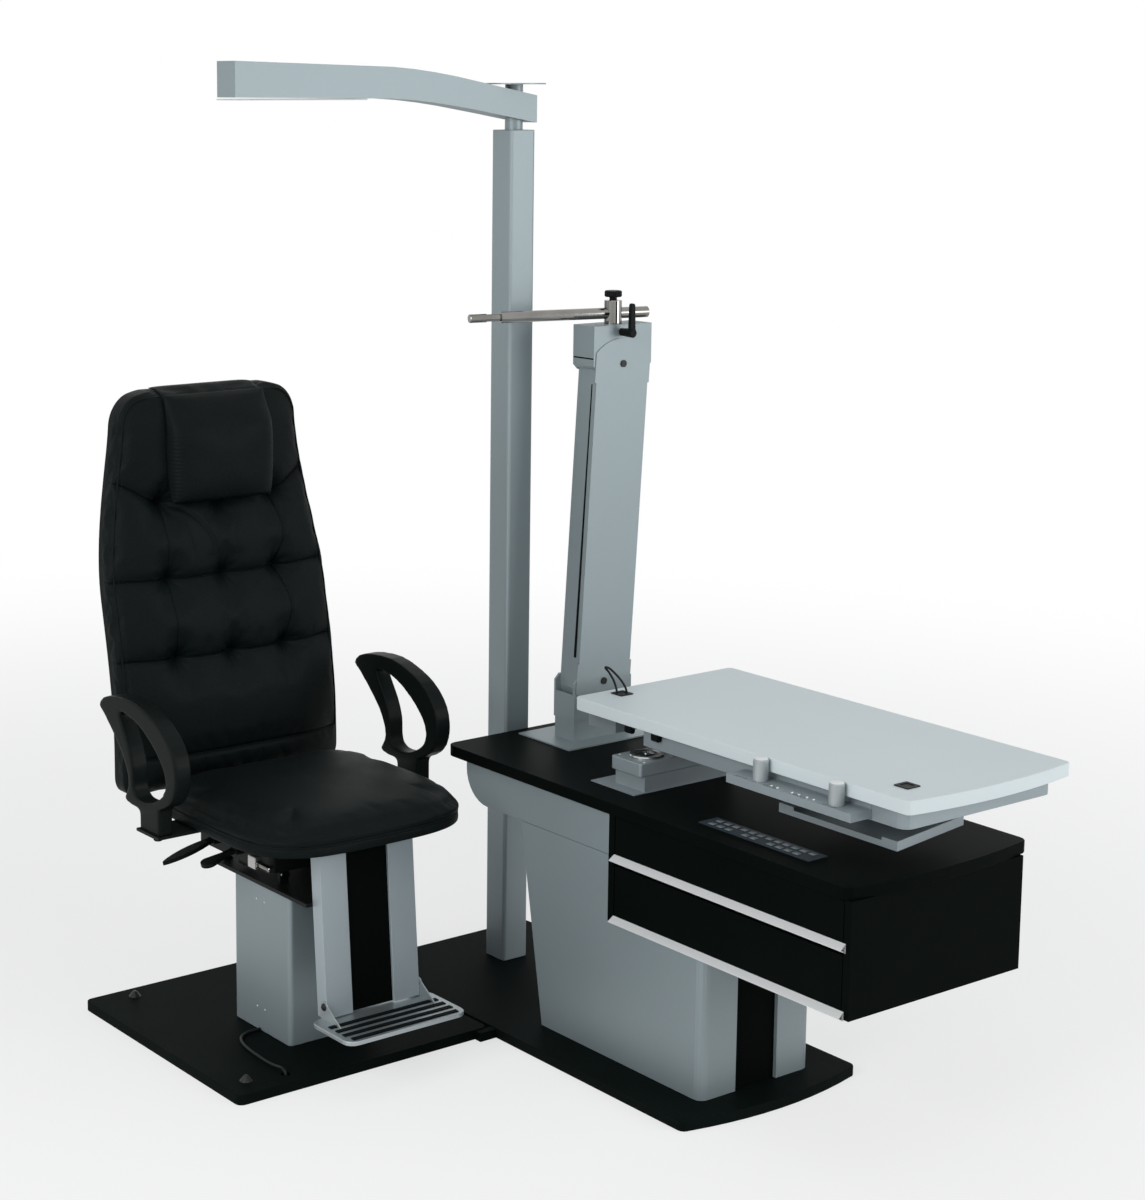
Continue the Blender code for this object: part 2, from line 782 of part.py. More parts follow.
def build_footrest():
    """Two leaning channels, the black panel between them, and the tread."""
    place = (0, FOOT_AXIS_Y, FOOT_AXIS_Z)
    turn = (-FOOT_LEAN, 0, 0)
    outer = CHANNEL_OUTER
    inner = CHANNEL_OUTER - CHANNEL_WIDTH
    front = -CHANNEL_FRONT
    rear = CHANNEL_DEPTH - CHANNEL_FRONT
    web = PANEL_SINK + SHEET + GAP - CHANNEL_FRONT
    wall = SHEET
    half = [
        (inner, front), (outer, front), (outer, rear), (outer - wall, rear),
        (outer - wall, front + wall), (inner + wall, front + wall), (inner + wall, web + wall)]
    section = half + [(-x, y) for x, y in reversed(half)]
    section += [(-inner, web), (inner, web)]
    channels = add("footrest_channels", prism_mesh([section], -CHANNEL_LOW, CHANNEL_TOP),
                   own_finish("footrest_channels", SILVER, 0.4, 0.4), place, turn)
    soften(channels, EDGE / 2, 1)
    side = CHANNEL_OUTER - CHANNEL_WIDTH - GAP
    panel = box("footrest_panel", (-side, PANEL_SINK - CHANNEL_FRONT, -CHANNEL_LOW + FREE),
                (side, PANEL_SINK - CHANNEL_FRONT + SHEET, CHANNEL_TOP),
                own_finish("footrest_panel", COAL, 0.55))
    centre = Vector(panel.location)
    lean = Matrix.Rotation(-FOOT_LEAN, 4, "X")
    panel.location = Vector(place) + lean @ centre
    panel.rotation_euler = turn
    tread_top = FOOT_LEVEL + FOOT_THICK
    plate = prism(
        "foot_plate", [rounded(-FOOT_HALF, FOOT_HALF, FOOT_FRONT, FOOT_BACK, FOOT_ROUND)],
        FOOT_LEVEL, tread_top, own_finish("foot_plate", SILVER, 0.4, 0.5),
        rounding=EDGE, segments=1)
    ear_in = CHANNEL_OUTER + GAP
    for side in (-1, 1):
        low, high = sorted((side * ear_in, side * (ear_in + SHEET)))
        outline = (arc((FOOT_AXIS_Y, FOOT_AXIS_Z), EAR_RADIUS, 20, 160, 6)
                   + [(FOOT_AXIS_Y - EAR_LENGTH, tread_top - FREE / 2),
                      (FOOT_AXIS_Y + EAR_RADIUS, tread_top - FREE / 2)])
        boolean(plate, prism_mesh([outline], low, high, "X"), "UNION")
    reach = CHANNEL_OUTER - FREE
    mat_low = tread_top + GAP
    first = FOOT_FRONT + TREAD_FIRST
    last = first + (TREAD_COUNT - 1) * TREAD_PITCH
    edge = TREAD_WIDTH / 2
    outline = [(first - edge, mat_low), (last + edge, mat_low)]
    for step in reversed(range(TREAD_COUNT)):
        middle = first + step * TREAD_PITCH
        outline += [(middle + edge, mat_low + TREAD_HEIGHT), (middle - edge,
                                                              mat_low + TREAD_HEIGHT)]
        if step:
            outline += [(middle - edge, mat_low + TREAD_HEIGHT / 4),
                        (middle - TREAD_PITCH + edge, mat_low + TREAD_HEIGHT / 4)]
    add("foot_plate_treads", prism_mesh([outline], -reach, reach, "X"),
        own_finish("foot_plate_treads", COAL, 0.8))


def rod_level():
    return COLUMN_TOP + INNER_RISE + GAP + GUIDE_PLATE + ROD_LIFT


def frame_bottom():
    return rod_level() + BLOCK_HEIGHT / 2 + GAP


def lever(node, frame, y, reach, outline, material):
    """A handle on a hub that turns between two ears of the frame."""
    height = frame_bottom() + FRAME_HEIGHT / 2
    x = -FRAME_HALF - LEVER_HUB - FREE
    half = LEVER_HUB_WIDTH / 2
    for side in (-1, 1):
        low, high = sorted((y + side * (half + GAP), y + side * (half + GAP + LEVER_EAR)))
        join_box(frame, (x - LEVER_HUB, low, height - LEVER_HUB),
                 (-FRAME_HALF + FREE, high, height + LEVER_HUB))
        cut_round(frame, LEVER_PIN + GAP, low - GAP, high + GAP, "Y", (x, 0, height), 12)
    handle = add(node, round_mesh(LEVER_HUB, -half, half, "Y", 16), material, (x, y, height))
    pin = half + LEVER_EAR
    boolean(handle, round_mesh(LEVER_PIN, -pin, pin, "Y", 12), "UNION", (x, y, height))
    blade = prism_mesh([outline(reach)], -LEVER_THICK / 2, LEVER_THICK / 2)
    boolean(handle, blade, "UNION", (x, y, height), (0, -LEVER_DROP, 0))
    shade(handle)


def paddle_outline(reach):
    end = PADDLE_WIDTH / 2
    neck = LEVER_HUB_WIDTH / 2 - GAP
    return ([(0, neck), (-reach / 3, neck)] + arc((end - reach, 0), end, 90, 270, 8)
            + [(-reach / 3, -neck), (0, -neck)])


def leaf_outline(reach):
    neck = LEVER_HUB_WIDTH / 2 - GAP
    upper = [(0, neck), (-LEVER_HUB * 1.5, neck)]
    upper += [(-reach * share, LEAF_WIDTH / 2 * math.sin(math.pi * share) ** 0.7)
              for share in LEAF_SHARES]
    upper.append((-reach, 0))
    lower = [(x, -y) for x, y in reversed(upper[:-1])]
    return upper + lower


def build_seat_frame():
    """The seat carrier on its guide blocks, with both levers."""
    low = frame_bottom()
    high = low + FRAME_HEIGHT
    frame = prism("seat_frame",
                  [rounded(-FRAME_HALF, FRAME_HALF, FRAME_FRONT, FRAME_BACK, FRAME_ROUND)],
                  low, high, own_finish("seat_frame", COAL, 0.5))
    cut_box(frame, (-FRAME_HALF + FRAME_ROUND, FRAME_FRONT + FRAME_ROUND, low + SHEET),
            (FRAME_HALF - FRAME_ROUND, FRAME_BACK - FRAME_ROUND, high + CUT))
    reach = REST_X + REST_WIDTH / 2
    top = SEAT_BOTTOM - GAP
    join_box(frame, (-reach, ARM_BAR_FRONT, top - ARM_BAR), (reach, ARM_BAR_BACK, top))
    for side in (-1, 1):
        inner = side * (FRAME_HALF - FRAME_ROUND)
        outer = side * FRAME_HALF
        join_box(frame, (min(inner, outer), ARM_BAR_FRONT, high - FREE),
                 (max(inner, outer), ARM_BAR_BACK, top - ARM_BAR / 2))
    join_box(frame, (-FRAME_HALF, FRAME_FRONT, top - ARM_BAR),
             (FRAME_HALF, ARM_BAR_FRONT + FREE, top))
    join_box(frame, (-FRAME_HALF, ARM_BAR_BACK - FREE, top - ARM_BAR),
             (FRAME_HALF, FRAME_BACK, top))
    for side in (-1, 1):
        low_x, high_x = sorted((side * (BRACKET_HALF + GAP),
                                side * (BRACKET_HALF + GAP + HINGE_EAR)))
        radius = HINGE_PIN * 2
        outline = (arc((HINGE_Y, HINGE_Z), radius, -90, 90, 8)
                   + [(FRAME_BACK - FRAME_ROUND / 2, HINGE_Z + radius),
                      (FRAME_BACK - FRAME_ROUND / 2, HINGE_Z - radius)])
        boolean(frame, prism_mesh([outline], low_x, high_x, "X"), "UNION")
    span = BRACKET_HALF + HINGE_EAR + CUT
    cut_round(frame, HINGE_PIN + GAP, -span, span, "X", (0, HINGE_Y, HINGE_Z), 20)
    cut_box(frame, (-BRACKET_HALF - GAP, FRAME_BACK - FRAME_ROUND - GAP, low + SHEET),
            (BRACKET_HALF + GAP, FRAME_BACK + CUT, SEAT_BOTTOM - GAP - ARM_BAR - FREE))
    lever("slide_lever", frame, PADDLE_Y, PADDLE_REACH, paddle_outline,
          own_finish("slide_lever", COAL, 0.45))
    lever("tilt_lever", frame, LEAF_Y, LEAF_REACH, leaf_outline,
          own_finish("tilt_lever", COAL, 0.45))
    for side in (-1, 1):
        x = side * ROD_X
        join_box(frame, (x - BLOCK_WIDTH / 2, BLOCK_FRONT, rod_level() - BLOCK_HEIGHT / 2),
                 (x + BLOCK_WIDTH / 2, BLOCK_FRONT + BLOCK_LENGTH, low + SHEET / 2))
        cut_round(frame, ROD_RADIUS + GAP, BLOCK_FRONT - CUT / 2,
                  BLOCK_FRONT + BLOCK_LENGTH + CUT / 2, "Y", (x, 0, rod_level()), 16)


def seat_point(u, v, w):
    """Place a point of the seat cushion's block."""
    x = SEAT_HALF * u * math.sqrt(1 - SEAT_ROUND_SHARE * v * v / 2)
    middle = (SEAT_FRONT + SEAT_BACK) / 2
    half = (SEAT_BACK - SEAT_FRONT) / 2
    pull = SEAT_ROUND_SHARE if v < 0 else SEAT_ROUND_SHARE / 2
    y = middle + half * v * math.sqrt(1 - pull * u * u / 2)
    dome = (1 - abs(u) ** 3) * (1 - abs(v) ** 3)
    if w > 0:
        z = SEAT_BOTTOM + SEAT_EDGE + SEAT_CROWN * (0.35 + 0.65 * dome ** 0.6) * w
    else:
        z = SEAT_BOTTOM + SEAT_EDGE * (1 + w)
    edge = max(abs(u), abs(v)) ** 6
    draw = SEAT_DRAW * edge * (1 - (1 - abs(w)) ** 2)
    channel = SEAM_DEPTH / 2 * math.exp(-((w - 0.05) / 0.12) ** 2) * edge
    scale = 1 - (draw + channel) / SEAT_HALF
    return x * scale, middle + (y - middle) * scale, z


def back_middle(z):
    return BACK_AXIS_Y + BACK_RAKE * smooth_step((z - BACK_RAKE_FROM) / BACK_RAKE_OVER)


def back_half(z):
    half = BACK_HALF - BACK_NARROW * smooth_step((z - BACK_NARROW_FROM) / BACK_NARROW_OVER)
    over = (z - (BACK_TOP - BACK_ROUND)) / BACK_ROUND
    if over > 0:
        half -= BACK_ROUND * (1 - math.sqrt(max(0.0, 1 - min(over, 1) ** 2)))
    under = (BACK_BOTTOM + BACK_ROUND / 2 - z) / (BACK_ROUND / 2)
    if under > 0:
        half -= BACK_ROUND / 3 * (1 - math.sqrt(max(0.0, 1 - min(under, 1) ** 2)))
    return half


def back_depth(u, w):
    side = max(abs(u) ** 4, abs(w) ** 12)
    return BACK_DEPTH / 2 * (1 - 0.45 * side)


def back_dome(u, w):
    return (1 - abs(u) ** 3) * (1 - abs(w) ** 8)


def back_point(u, v, w):
    """Place a point of the backrest: u across, v depth (-1 front), w height."""
    z = (BACK_BOTTOM + BACK_TOP) / 2 + (BACK_TOP - BACK_BOTTOM) / 2 * w
    half = back_half(z)
    x = half * u
    y = back_middle(z) + back_depth(u, w) * v
    if v < 0:
        dome = back_dome(u, w)
        push = BACK_CROWN * dome
        push += (BACK_LUMBAR * dome
                 * math.exp(-((z - BACK_BOTTOM - BACK_ROUND / 2) / BACK_LUMBAR_SPREAD) ** 2))
        for row in TUFT_ROWS:
            for tuft in (-TUFT_X, 0, TUFT_X):
                near = ((x - tuft) ** 2 + (z - row) ** 2) / TUFT_SPREAD ** 2
                push -= TUFT_DEPTH * math.exp(-near)
            push -= SEAM_DEPTH * math.exp(-((z - row) / SEAM_SPREAD) ** 2) * (1 - u ** 6)
        if TUFT_ROWS[0] - TUFT_SPREAD < z < TUFT_ROWS[-1] + TUFT_SPREAD:
            for tuft in (-TUFT_X, TUFT_X):
                push -= SEAM_DEPTH * 0.7 * math.exp(-((x - tuft) / SEAM_SPREAD) ** 2)
        y -= push * -v
    return x, y, z


def soft(node, stations, place, material):
    """A cushion from a cut block, each point placed by its own formula."""
    mesh = lattice_block(stations)
    for vertex in mesh.vertices:
        vertex.co = place(*vertex.co)
    thing = add(node, mesh, material)
    mesh.shade_smooth()
    return thing


def pillow_point(u, v, w):
    """The headrest pillow, bulging forward over the top of the backrest."""
    high = BACK_TOP - BACK_ROUND / 8
    low = BACK_TOP - PILLOW_TALL
    z = (low + high) / 2 + (high - low) / 2 * w
    x = PILLOW_HALF * u * (1 - 0.05 * w * w)
    rear = back_middle(z) - BACK_DEPTH / 2 - BACK_CROWN
    dome = (1 - u ** 6) * (1 - w ** 6)
    thick = PILLOW_THICK * (0.12 + 0.88 * max(dome, 0) ** 0.55)
    return x, rear - thick * (1 - v) / 2, z


def build_cushions():
    """Seat, backrest with its tufts, headrest pillow and the rear bracket."""
    soft("seat_cushion", (even(14), even(14), (-0.5, -0.05, 0.12, 0.6)), seat_point,
         own_finish("seat_cushion", COAL, 0.45))
    rows = sorted(set(even(14)) | {
        (row + offset - (BACK_BOTTOM + BACK_TOP) / 2) / ((BACK_TOP - BACK_BOTTOM) / 2)
        for row in TUFT_ROWS for offset in (-SEAM_SPREAD, 0, SEAM_SPREAD)}
        | {1 - 2 * BACK_ROUND * share / (BACK_TOP - BACK_BOTTOM)
           for share in BACK_CORNER_SHARES})
    spread = [TUFT_X / BACK_HALF]
    columns = sorted(set(even(12)) | {side * share for side in (-1, 1) for share in spread})
    soft("back_cushion", (columns, (-0.3, 0.4), rows), back_point,
         own_finish("back_cushion", COAL, 0.45))
    soft("headrest_pillow", (even(8), (0.0,), even(8)), pillow_point,
         own_finish("headrest_pillow", COAL, 0.45))


def build_bracket():
    """The steel strap that carries the backrest, bent up from its hinge."""
    rear = BACK_DEPTH / 2 + BRACKET / 2 + GAP * 2
    heel = back_middle(BACK_BOTTOM) + rear
    line = [(HINGE_Y, HINGE_Z), (HINGE_Y + CUT, HINGE_Z), (heel - CUT, HINGE_Z + FREE),
            (heel, HINGE_Z + CUT + FREE)]
    for height in (BACK_BOTTOM, (BACK_BOTTOM + BRACKET_TOP) / 2, BRACKET_TOP):
        line.append((back_middle(height) + rear, height))
    left = []
    right = []
    for index, point in enumerate(line):
        before = Vector(line[max(index - 1, 0)])
        after = Vector(line[min(index + 1, len(line) - 1)])
        along = (after - before).normalized()
        side = Vector((-along.y, along.x)) * BRACKET / 2
        left.append(tuple(Vector(point) + side))
        right.append(tuple(Vector(point) - side))
    bracket = prism("back_bracket", [left + right[::-1]], -BRACKET_HALF, BRACKET_HALF,
                    own_finish("back_bracket", COAL, 0.5), "X")
    boolean(bracket, round_mesh(HINGE_PIN * 1.6, -BRACKET_HALF, BRACKET_HALF, "X", 20), "UNION",
            (0, HINGE_Y, HINGE_Z))
    pin = BRACKET_HALF + HINGE_EAR + GAP
    boolean(bracket, round_mesh(HINGE_PIN, -pin, pin, "X", 20), "UNION", (0, HINGE_Y, HINGE_Z))


def rest_outline(shares):
    length = REST_REAR - REST_FRONT
    height = REST_HIGH - REST_LOW
    points = [(REST_FRONT + a * length, REST_LOW + b * height, 0) for a, b in shares]
    return [(a, b) for a, b, _ in smooth_points(points, 2, True)]


def build_armrests():
    """Two moulded loops, each standing on the end of the seat's cross bar."""
    for name, side in (("armrest_left", -1), ("armrest_right", 1)):
        low, high = sorted((side * (REST_X - REST_WIDTH / 2), side * (REST_X + REST_WIDTH / 2)))
        rest = prism(name, [rest_outline(REST_OUTER_SHARES), rest_outline(REST_INNER_SHARES)],
                     low, high, own_finish(name, COAL, 0.4), "X", rounding=REST_WIDTH / 5)
        join_box(rest, (low + FREE, ARM_BAR_FRONT + FREE, SEAT_BOTTOM),
                 (high - FREE, ARM_BAR_BACK - FREE, REST_LOW + REST_STEM / 5))


def arm_top(x):
    """Height of the lamp arm's top edge: level, then falling to the column."""
    heel = LAMP_X + ARM_HEEL
    fall = smooth_step(max(0.0, (x - ARM_LEVEL_FROM) / (heel - ARM_LEVEL_FROM)) * 0.62) / (
        smooth_step(0.62))
    base = LAMP_TOP + ARM_CLEAR + ARM_TALL_HEEL
    return base + ARM_RISE * (1 - fall) + ARM_SLOPE * max(0.0, ARM_LEVEL_FROM - x)


def arm_height(x):
    share = (x - ARM_TIP_X) / (LAMP_X + ARM_HEEL - ARM_TIP_X)
    return ARM_TALL_TIP + (ARM_TALL_HEEL - ARM_TALL_TIP) * share


def arm_outline(inset):
    """Side view of the lamp arm, made smaller all round by an inset."""
    left = ARM_TIP_X + inset
    right = LAMP_X + ARM_HEEL - inset
    stations = [left + (right - left) * step / ARM_STEPS for step in range(ARM_STEPS + 1)]
    top = [(x, arm_top(x) - inset) for x in stations]
    low = [(x, arm_top(x) - arm_height(x) + inset) for x in stations]
    return low + top[::-1]


def build_lamp():
    """The square column, its pivot post, the bent arm and the light panel."""
    half = LAMP_TUBE / 2
    column = prism(
        "lamp_column",
        [rounded(LAMP_X - half, LAMP_X + half, LAMP_Y - half, LAMP_Y + half, LAMP_ROUND, 3)],
        PLATE + GAP, LAMP_TOP, own_finish("lamp_column", SILVER, 0.45, 0.3),
        rounding=EDGE, segments=1)
    inner = half - SHEET
    boolean(column, prism_mesh(
        [rounded(LAMP_X - inner, LAMP_X + inner, LAMP_Y - inner, LAMP_Y + inner,
                 LAMP_ROUND - SHEET, 3)],
        PLATE - CUT, LAMP_TOP - LAMP_ROUND))
    cut_round(column, POST_RADIUS + GAP, LAMP_TOP - CUT, LAMP_TOP + CUT, "Z",
              (LAMP_X, LAMP_Y, 0), 32)
    post_top = LAMP_TOP + POST_RISE
    profile = [
        (0, post_top + POST_DISC_THICK), (POST_DISC, post_top + POST_DISC_THICK),
        (POST_DISC, post_top), (POST_RADIUS, post_top), (POST_RADIUS, LAMP_TOP - POST_DEEP),
        (0, LAMP_TOP - POST_DEEP)]
    post = add("lamp_pivot_post", turned_mesh(profile, 40), own_finish(
        "lamp_pivot_post", SILVER, 0.35, 0.7), (LAMP_X, LAMP_Y, 0))
    shade(post)
    arm = prism("lamp_arm_beam", [arm_outline(0)], LAMP_Y - half, LAMP_Y + half,
                own_finish("lamp_arm_beam", SILVER, 0.45, 0.3), "Y")
    boolean(arm, prism_mesh([arm_outline(SHEET)], LAMP_Y - half + SHEET, LAMP_Y + half - SHEET,
                            "Y"))
    tip = arm_top(ARM_TIP_X) - arm_height(ARM_TIP_X)
    window = half - LAMP_MARGIN
    cut_box(arm, (ARM_TIP_X + LAMP_MARGIN, LAMP_Y - window, tip - CUT),
            (ARM_TIP_X + LAMP_LONG - LAMP_MARGIN, LAMP_Y + window, tip + CUT))
    cut_round(arm, POST_RADIUS + GAP, LAMP_TOP - CUT, post_top + CUT, "Z",
              (LAMP_X, LAMP_Y, 0), 32)
    level = min(arm_top(x) - arm_height(x) for x in (ARM_TIP_X, ARM_TIP_X + LAMP_LONG)) - GAP
    box("lamp_panel", (ARM_TIP_X - FREE, LAMP_Y - half, level - LAMP_PANEL),
        (ARM_TIP_X + LAMP_LONG, LAMP_Y + half, level), own_finish("lamp_panel", WHITE, 0.3),
        EDGE / 2, 1)


def build_desk():
    """The laminate top, the rounded apron and the pedestal under it."""
    prism("desk_top", [bowed(DESK_LEFT, DESK_RIGHT, DESK_FRONT, DESK_BACK, DESK_ROUND, DESK_BOW)],
          DESK_TOP - DESK_BOARD, DESK_TOP, own_finish("desk_top", COAL, 0.35),
          rounding=EDGE)
    under = DESK_TOP - DESK_BOARD - GAP
    start = CABINET_START + GAP
    curve = arc((APRON_BACK - APRON_ROUND, APRON_SEAM + APRON_ROUND), APRON_ROUND, -90, 0, 8)
    outline = [(start, APRON_SEAM)] + curve + [(APRON_BACK, under), (start, under)]
    apron = prism("desk_apron", [outline], BODY_LEFT, BODY_RIGHT,
                  own_finish("desk_apron", SILVER, 0.45, 0.3), "X", rounding=EDGE, segments=1)
    inner = arc((APRON_BACK - APRON_ROUND, APRON_SEAM + APRON_ROUND), APRON_ROUND - SHEET,
                -90, 0, 8)
    cavity = ([(start + SHEET, APRON_SEAM + SHEET)] + inner
              + [(APRON_BACK - SHEET, under + CUT), (start + SHEET, under + CUT)])
    boolean(apron, prism_mesh([cavity], BODY_LEFT + SHEET, BODY_RIGHT - SHEET, "X"))
    seam = APRON_SEAM - GAP
    low = PLATE + GAP
    step = CABINET_BOTTOM - GAP
    side = [(PEDESTAL_TOE, low), (PEDESTAL_TOP, seam), (start, seam), (start, step),
            (PEDESTAL_FRONT, step), (PEDESTAL_FRONT, low)]
    pedestal = prism("pedestal_housing", [side], BODY_LEFT, BODY_RIGHT,
                     own_finish("pedestal_housing", SILVER, 0.45, 0.3), "X")
    hollow = [(PEDESTAL_TOE - SHEET * 2, low - CUT), (PEDESTAL_TOP - SHEET * 2, seam - SHEET),
              (start + SHEET, seam - SHEET), (start + SHEET, step - SHEET),
              (PEDESTAL_FRONT + SHEET + STRIP_SINK, step - SHEET),
              (PEDESTAL_FRONT + SHEET + STRIP_SINK, low - CUT)]
    boolean(pedestal, prism_mesh([hollow], BODY_LEFT + SHEET, BODY_RIGHT - SHEET, "X"))
    corner = prism_mesh(
        [rounded(BODY_LEFT, BODY_RIGHT, PEDESTAL_FRONT, PEDESTAL_TOP + CUT * 2, PEDESTAL_ROUND)],
        low - CUT, seam + CUT)
    boolean(pedestal, corner, "INTERSECT")
    left = BODY_LEFT + STRIP_WIDTH
    right = BODY_RIGHT - STRIP_WIDTH
    cut_box(pedestal, (left, PEDESTAL_FRONT - CUT, low - CUT),
            (right, PEDESTAL_FRONT + STRIP_SINK, step + CUT))
    box("pedestal_front_panel",
        (left + GAP, PEDESTAL_FRONT + STRIP_SINK - GAP - SHEET, low),
        (right - GAP, PEDESTAL_FRONT + STRIP_SINK - GAP, step),
        own_finish("pedestal_front_panel", COAL, 0.5))


def handle_outline(z):
    """Triangular grip section in (x, z), with its face at the front plane."""
    face = BODY_LEFT - GAP
    return [(face, z), (face, z + HANDLE_HIGH), (face - HANDLE_DEEP * 0.25, z + HANDLE_HIGH),
            (face - HANDLE_DEEP, z + HANDLE_HIGH * 0.3), (face - HANDLE_DEEP, z)]


def drawer(name, low, high, grip):
    """A drawer: front board, hollow box and a hollow grip along its lower edge."""
    inside = CABINET_START - BOARD - FREE
    far = CABINET_END + BOARD + FREE
    grip_top = grip + HANDLE_HIGH
    box(name + "_front", (BODY_LEFT, far, low), (BODY_LEFT + FRONT_BOARD, inside, high),
        own_finish(name + "_front", COAL, 0.35), EDGE / 2, 1)
    bar = prism(name + "_handle", [handle_outline(grip)], far - HANDLE_OVER, inside + FREE,
                own_finish(name + "_handle", (0.75, 0.77, 0.78), 0.35, 0.4), "Y")
    face = BODY_LEFT - GAP
    wall = HANDLE_WALL
    boolean(bar, prism_mesh([[
        (face - wall, grip + wall), (face - wall, grip_top - wall * 1.8),
        (face - HANDLE_DEEP + wall, grip + HANDLE_HIGH * 0.3 - wall * 0.2),
        (face - HANDLE_DEEP + wall, grip + wall)]], far - CUT, inside + CUT, "Y"))
    side = RUNNER + FREE / 2
    start = BODY_LEFT + FRONT_BOARD + GAP
    body_low = low + CUT
    body_high = high - CUT / 2
    shell = box(name + "_box", (start, far + side, body_low),
                (start + DRAWER_LENGTH, inside - side, body_high),
                own_finish(name + "_box", (0.6, 0.6, 0.58), 0.6))
    wall = DRAWER_WALL
    cut_box(shell, (start + wall, far + side + wall, body_low + wall / 2),
            (start + DRAWER_LENGTH - wall, inside - side - wall, body_high + CUT))
    return body_low


def build_cabinet():
    """The black cabinet, its two drawers and their runners."""
    under = DESK_TOP - DESK_BOARD - GAP
    front = BODY_LEFT + FRONT_BOARD + GAP
    carcass = box("cabinet_carcass", (BODY_LEFT, CABINET_END, CABINET_BOTTOM),
                  (CABINET_BACK, CABINET_START, under), own_finish("cabinet_carcass", COAL, 0.4))
    cut_box(carcass, (BODY_LEFT - CUT, CABINET_END + BOARD, CABINET_BOTTOM + BOARD),
            (CABINET_BACK - BOARD, CABINET_START - BOARD, under + CUT))
    cut_box(carcass, (BODY_LEFT - CUT, CABINET_END + BOARD, CABINET_BOTTOM - CUT),
            (front, CABINET_START - BOARD, under + CUT))
    floors = [
        drawer("lower_drawer", HANDLE_LOWER + DRAWER_SLIT / 2 + FREE, HANDLE_UPPER - DRAWER_SLIT,
               HANDLE_LOWER),
        drawer("upper_drawer", HANDLE_UPPER - FREE, under - FREE, HANDLE_UPPER)]
    inside = CABINET_START - BOARD
    far = CABINET_END + BOARD
    for floor in floors:
        for low, high in ((far - FREE, far + RUNNER), (inside - RUNNER, inside + FREE)):
            join_box(carcass, (front + FREE, low, floor),
                     (front + DRAWER_LENGTH - FREE, high, floor + RUNNER_HEIGHT))
    level = DESK_TOP + GAP
    box("keypad", (KEYPAD_LEFT, KEYPAD_START - KEYPAD_LENGTH, level),
        (KEYPAD_LEFT + KEYPAD_WIDTH, KEYPAD_START, level + KEYPAD_THICK),
        own_finish("keypad", (0.16, 0.19, 0.24), 0.4))


def upper_pivot():
    return (ARM_X + PIVOT_APART * math.sin(ARM_LEAN), PIVOT_LOW + PIVOT_APART * math.cos(ARM_LEAN))


def along_arm(distance, across=0):
    """A point in world places from one along and across the leaning arm."""
    lean = Matrix.Rotation(ARM_LEAN, 3, "Y")
    return tuple(Vector((ARM_X, 0, PIVOT_LOW)) + lean @ Vector((across, 0, distance)))


def cover_outline():
    """The front cover, flat sided with shallow bowed ends past each pivot."""
    radius = (COVER_END ** 2 + COVER_RISE ** 2) / (2 * COVER_RISE)
    half = math.degrees(math.asin(COVER_END / radius))
    top = arc((0, PIVOT_APART + COVER_SHOULDER + COVER_RISE - radius), radius,
              90 - half, 90 + half, 12)
    low = arc((0, radius - COVER_SHOULDER - COVER_RISE), radius, 270 - half, 270 + half, 12)
    return top + low


def fork(node, material, centre_x, centre_z, sign, length, side_open):
    """Two cheeks round a pivot, joined by side walls and a closed end.

    It opens upwards for sign 1 and downwards for sign -1.
    """
    far = centre_z + sign * CHEEK_OVER
    end = centre_z - sign * length
    half = FORK_HALF
    corner = CHEEK_CORNER
    outline = [(centre_x - half, end), (centre_x + half, end),
               (centre_x + half, far - sign * corner), (centre_x + half - corner, far),
               (centre_x - half + corner, far), (centre_x - half, far - sign * corner)]
    body = prism(node, [outline], ARM_FRONT, ARM_BACK, material, "Y")
    low, high = sorted((centre_z - sign * (length - FORK_WALL), far + sign * CUT))
    inside = half - FORK_WALL
    cut_box(body, (centre_x - inside, ARM_FRONT + CHEEK, low),
            (centre_x + inside, ARM_BACK - CHEEK, high))
    low, high = sorted((centre_z - sign * side_open, far + sign * CUT))
    cut_box(body, (centre_x - half - CUT, ARM_FRONT + CHEEK, low),
            (centre_x + half + CUT, ARM_BACK - CHEEK, high))
    return body


def link_pin(owner, x, z):
    """A stud inside the front cheek for the parallel link."""
    start = ARM_FRONT + CHEEK / 2
    boolean(owner, round_mesh(LINK_PIN, start, ARM_FRONT + CHEEK + LINK_STAND, "Y", 16), "UNION",
            (x, 0, z))
    boolean(owner, round_mesh(LINK_PIN * 2, start, ARM_FRONT + CHEEK + FREE, "Y", 16), "UNION",
            (x, 0, z))


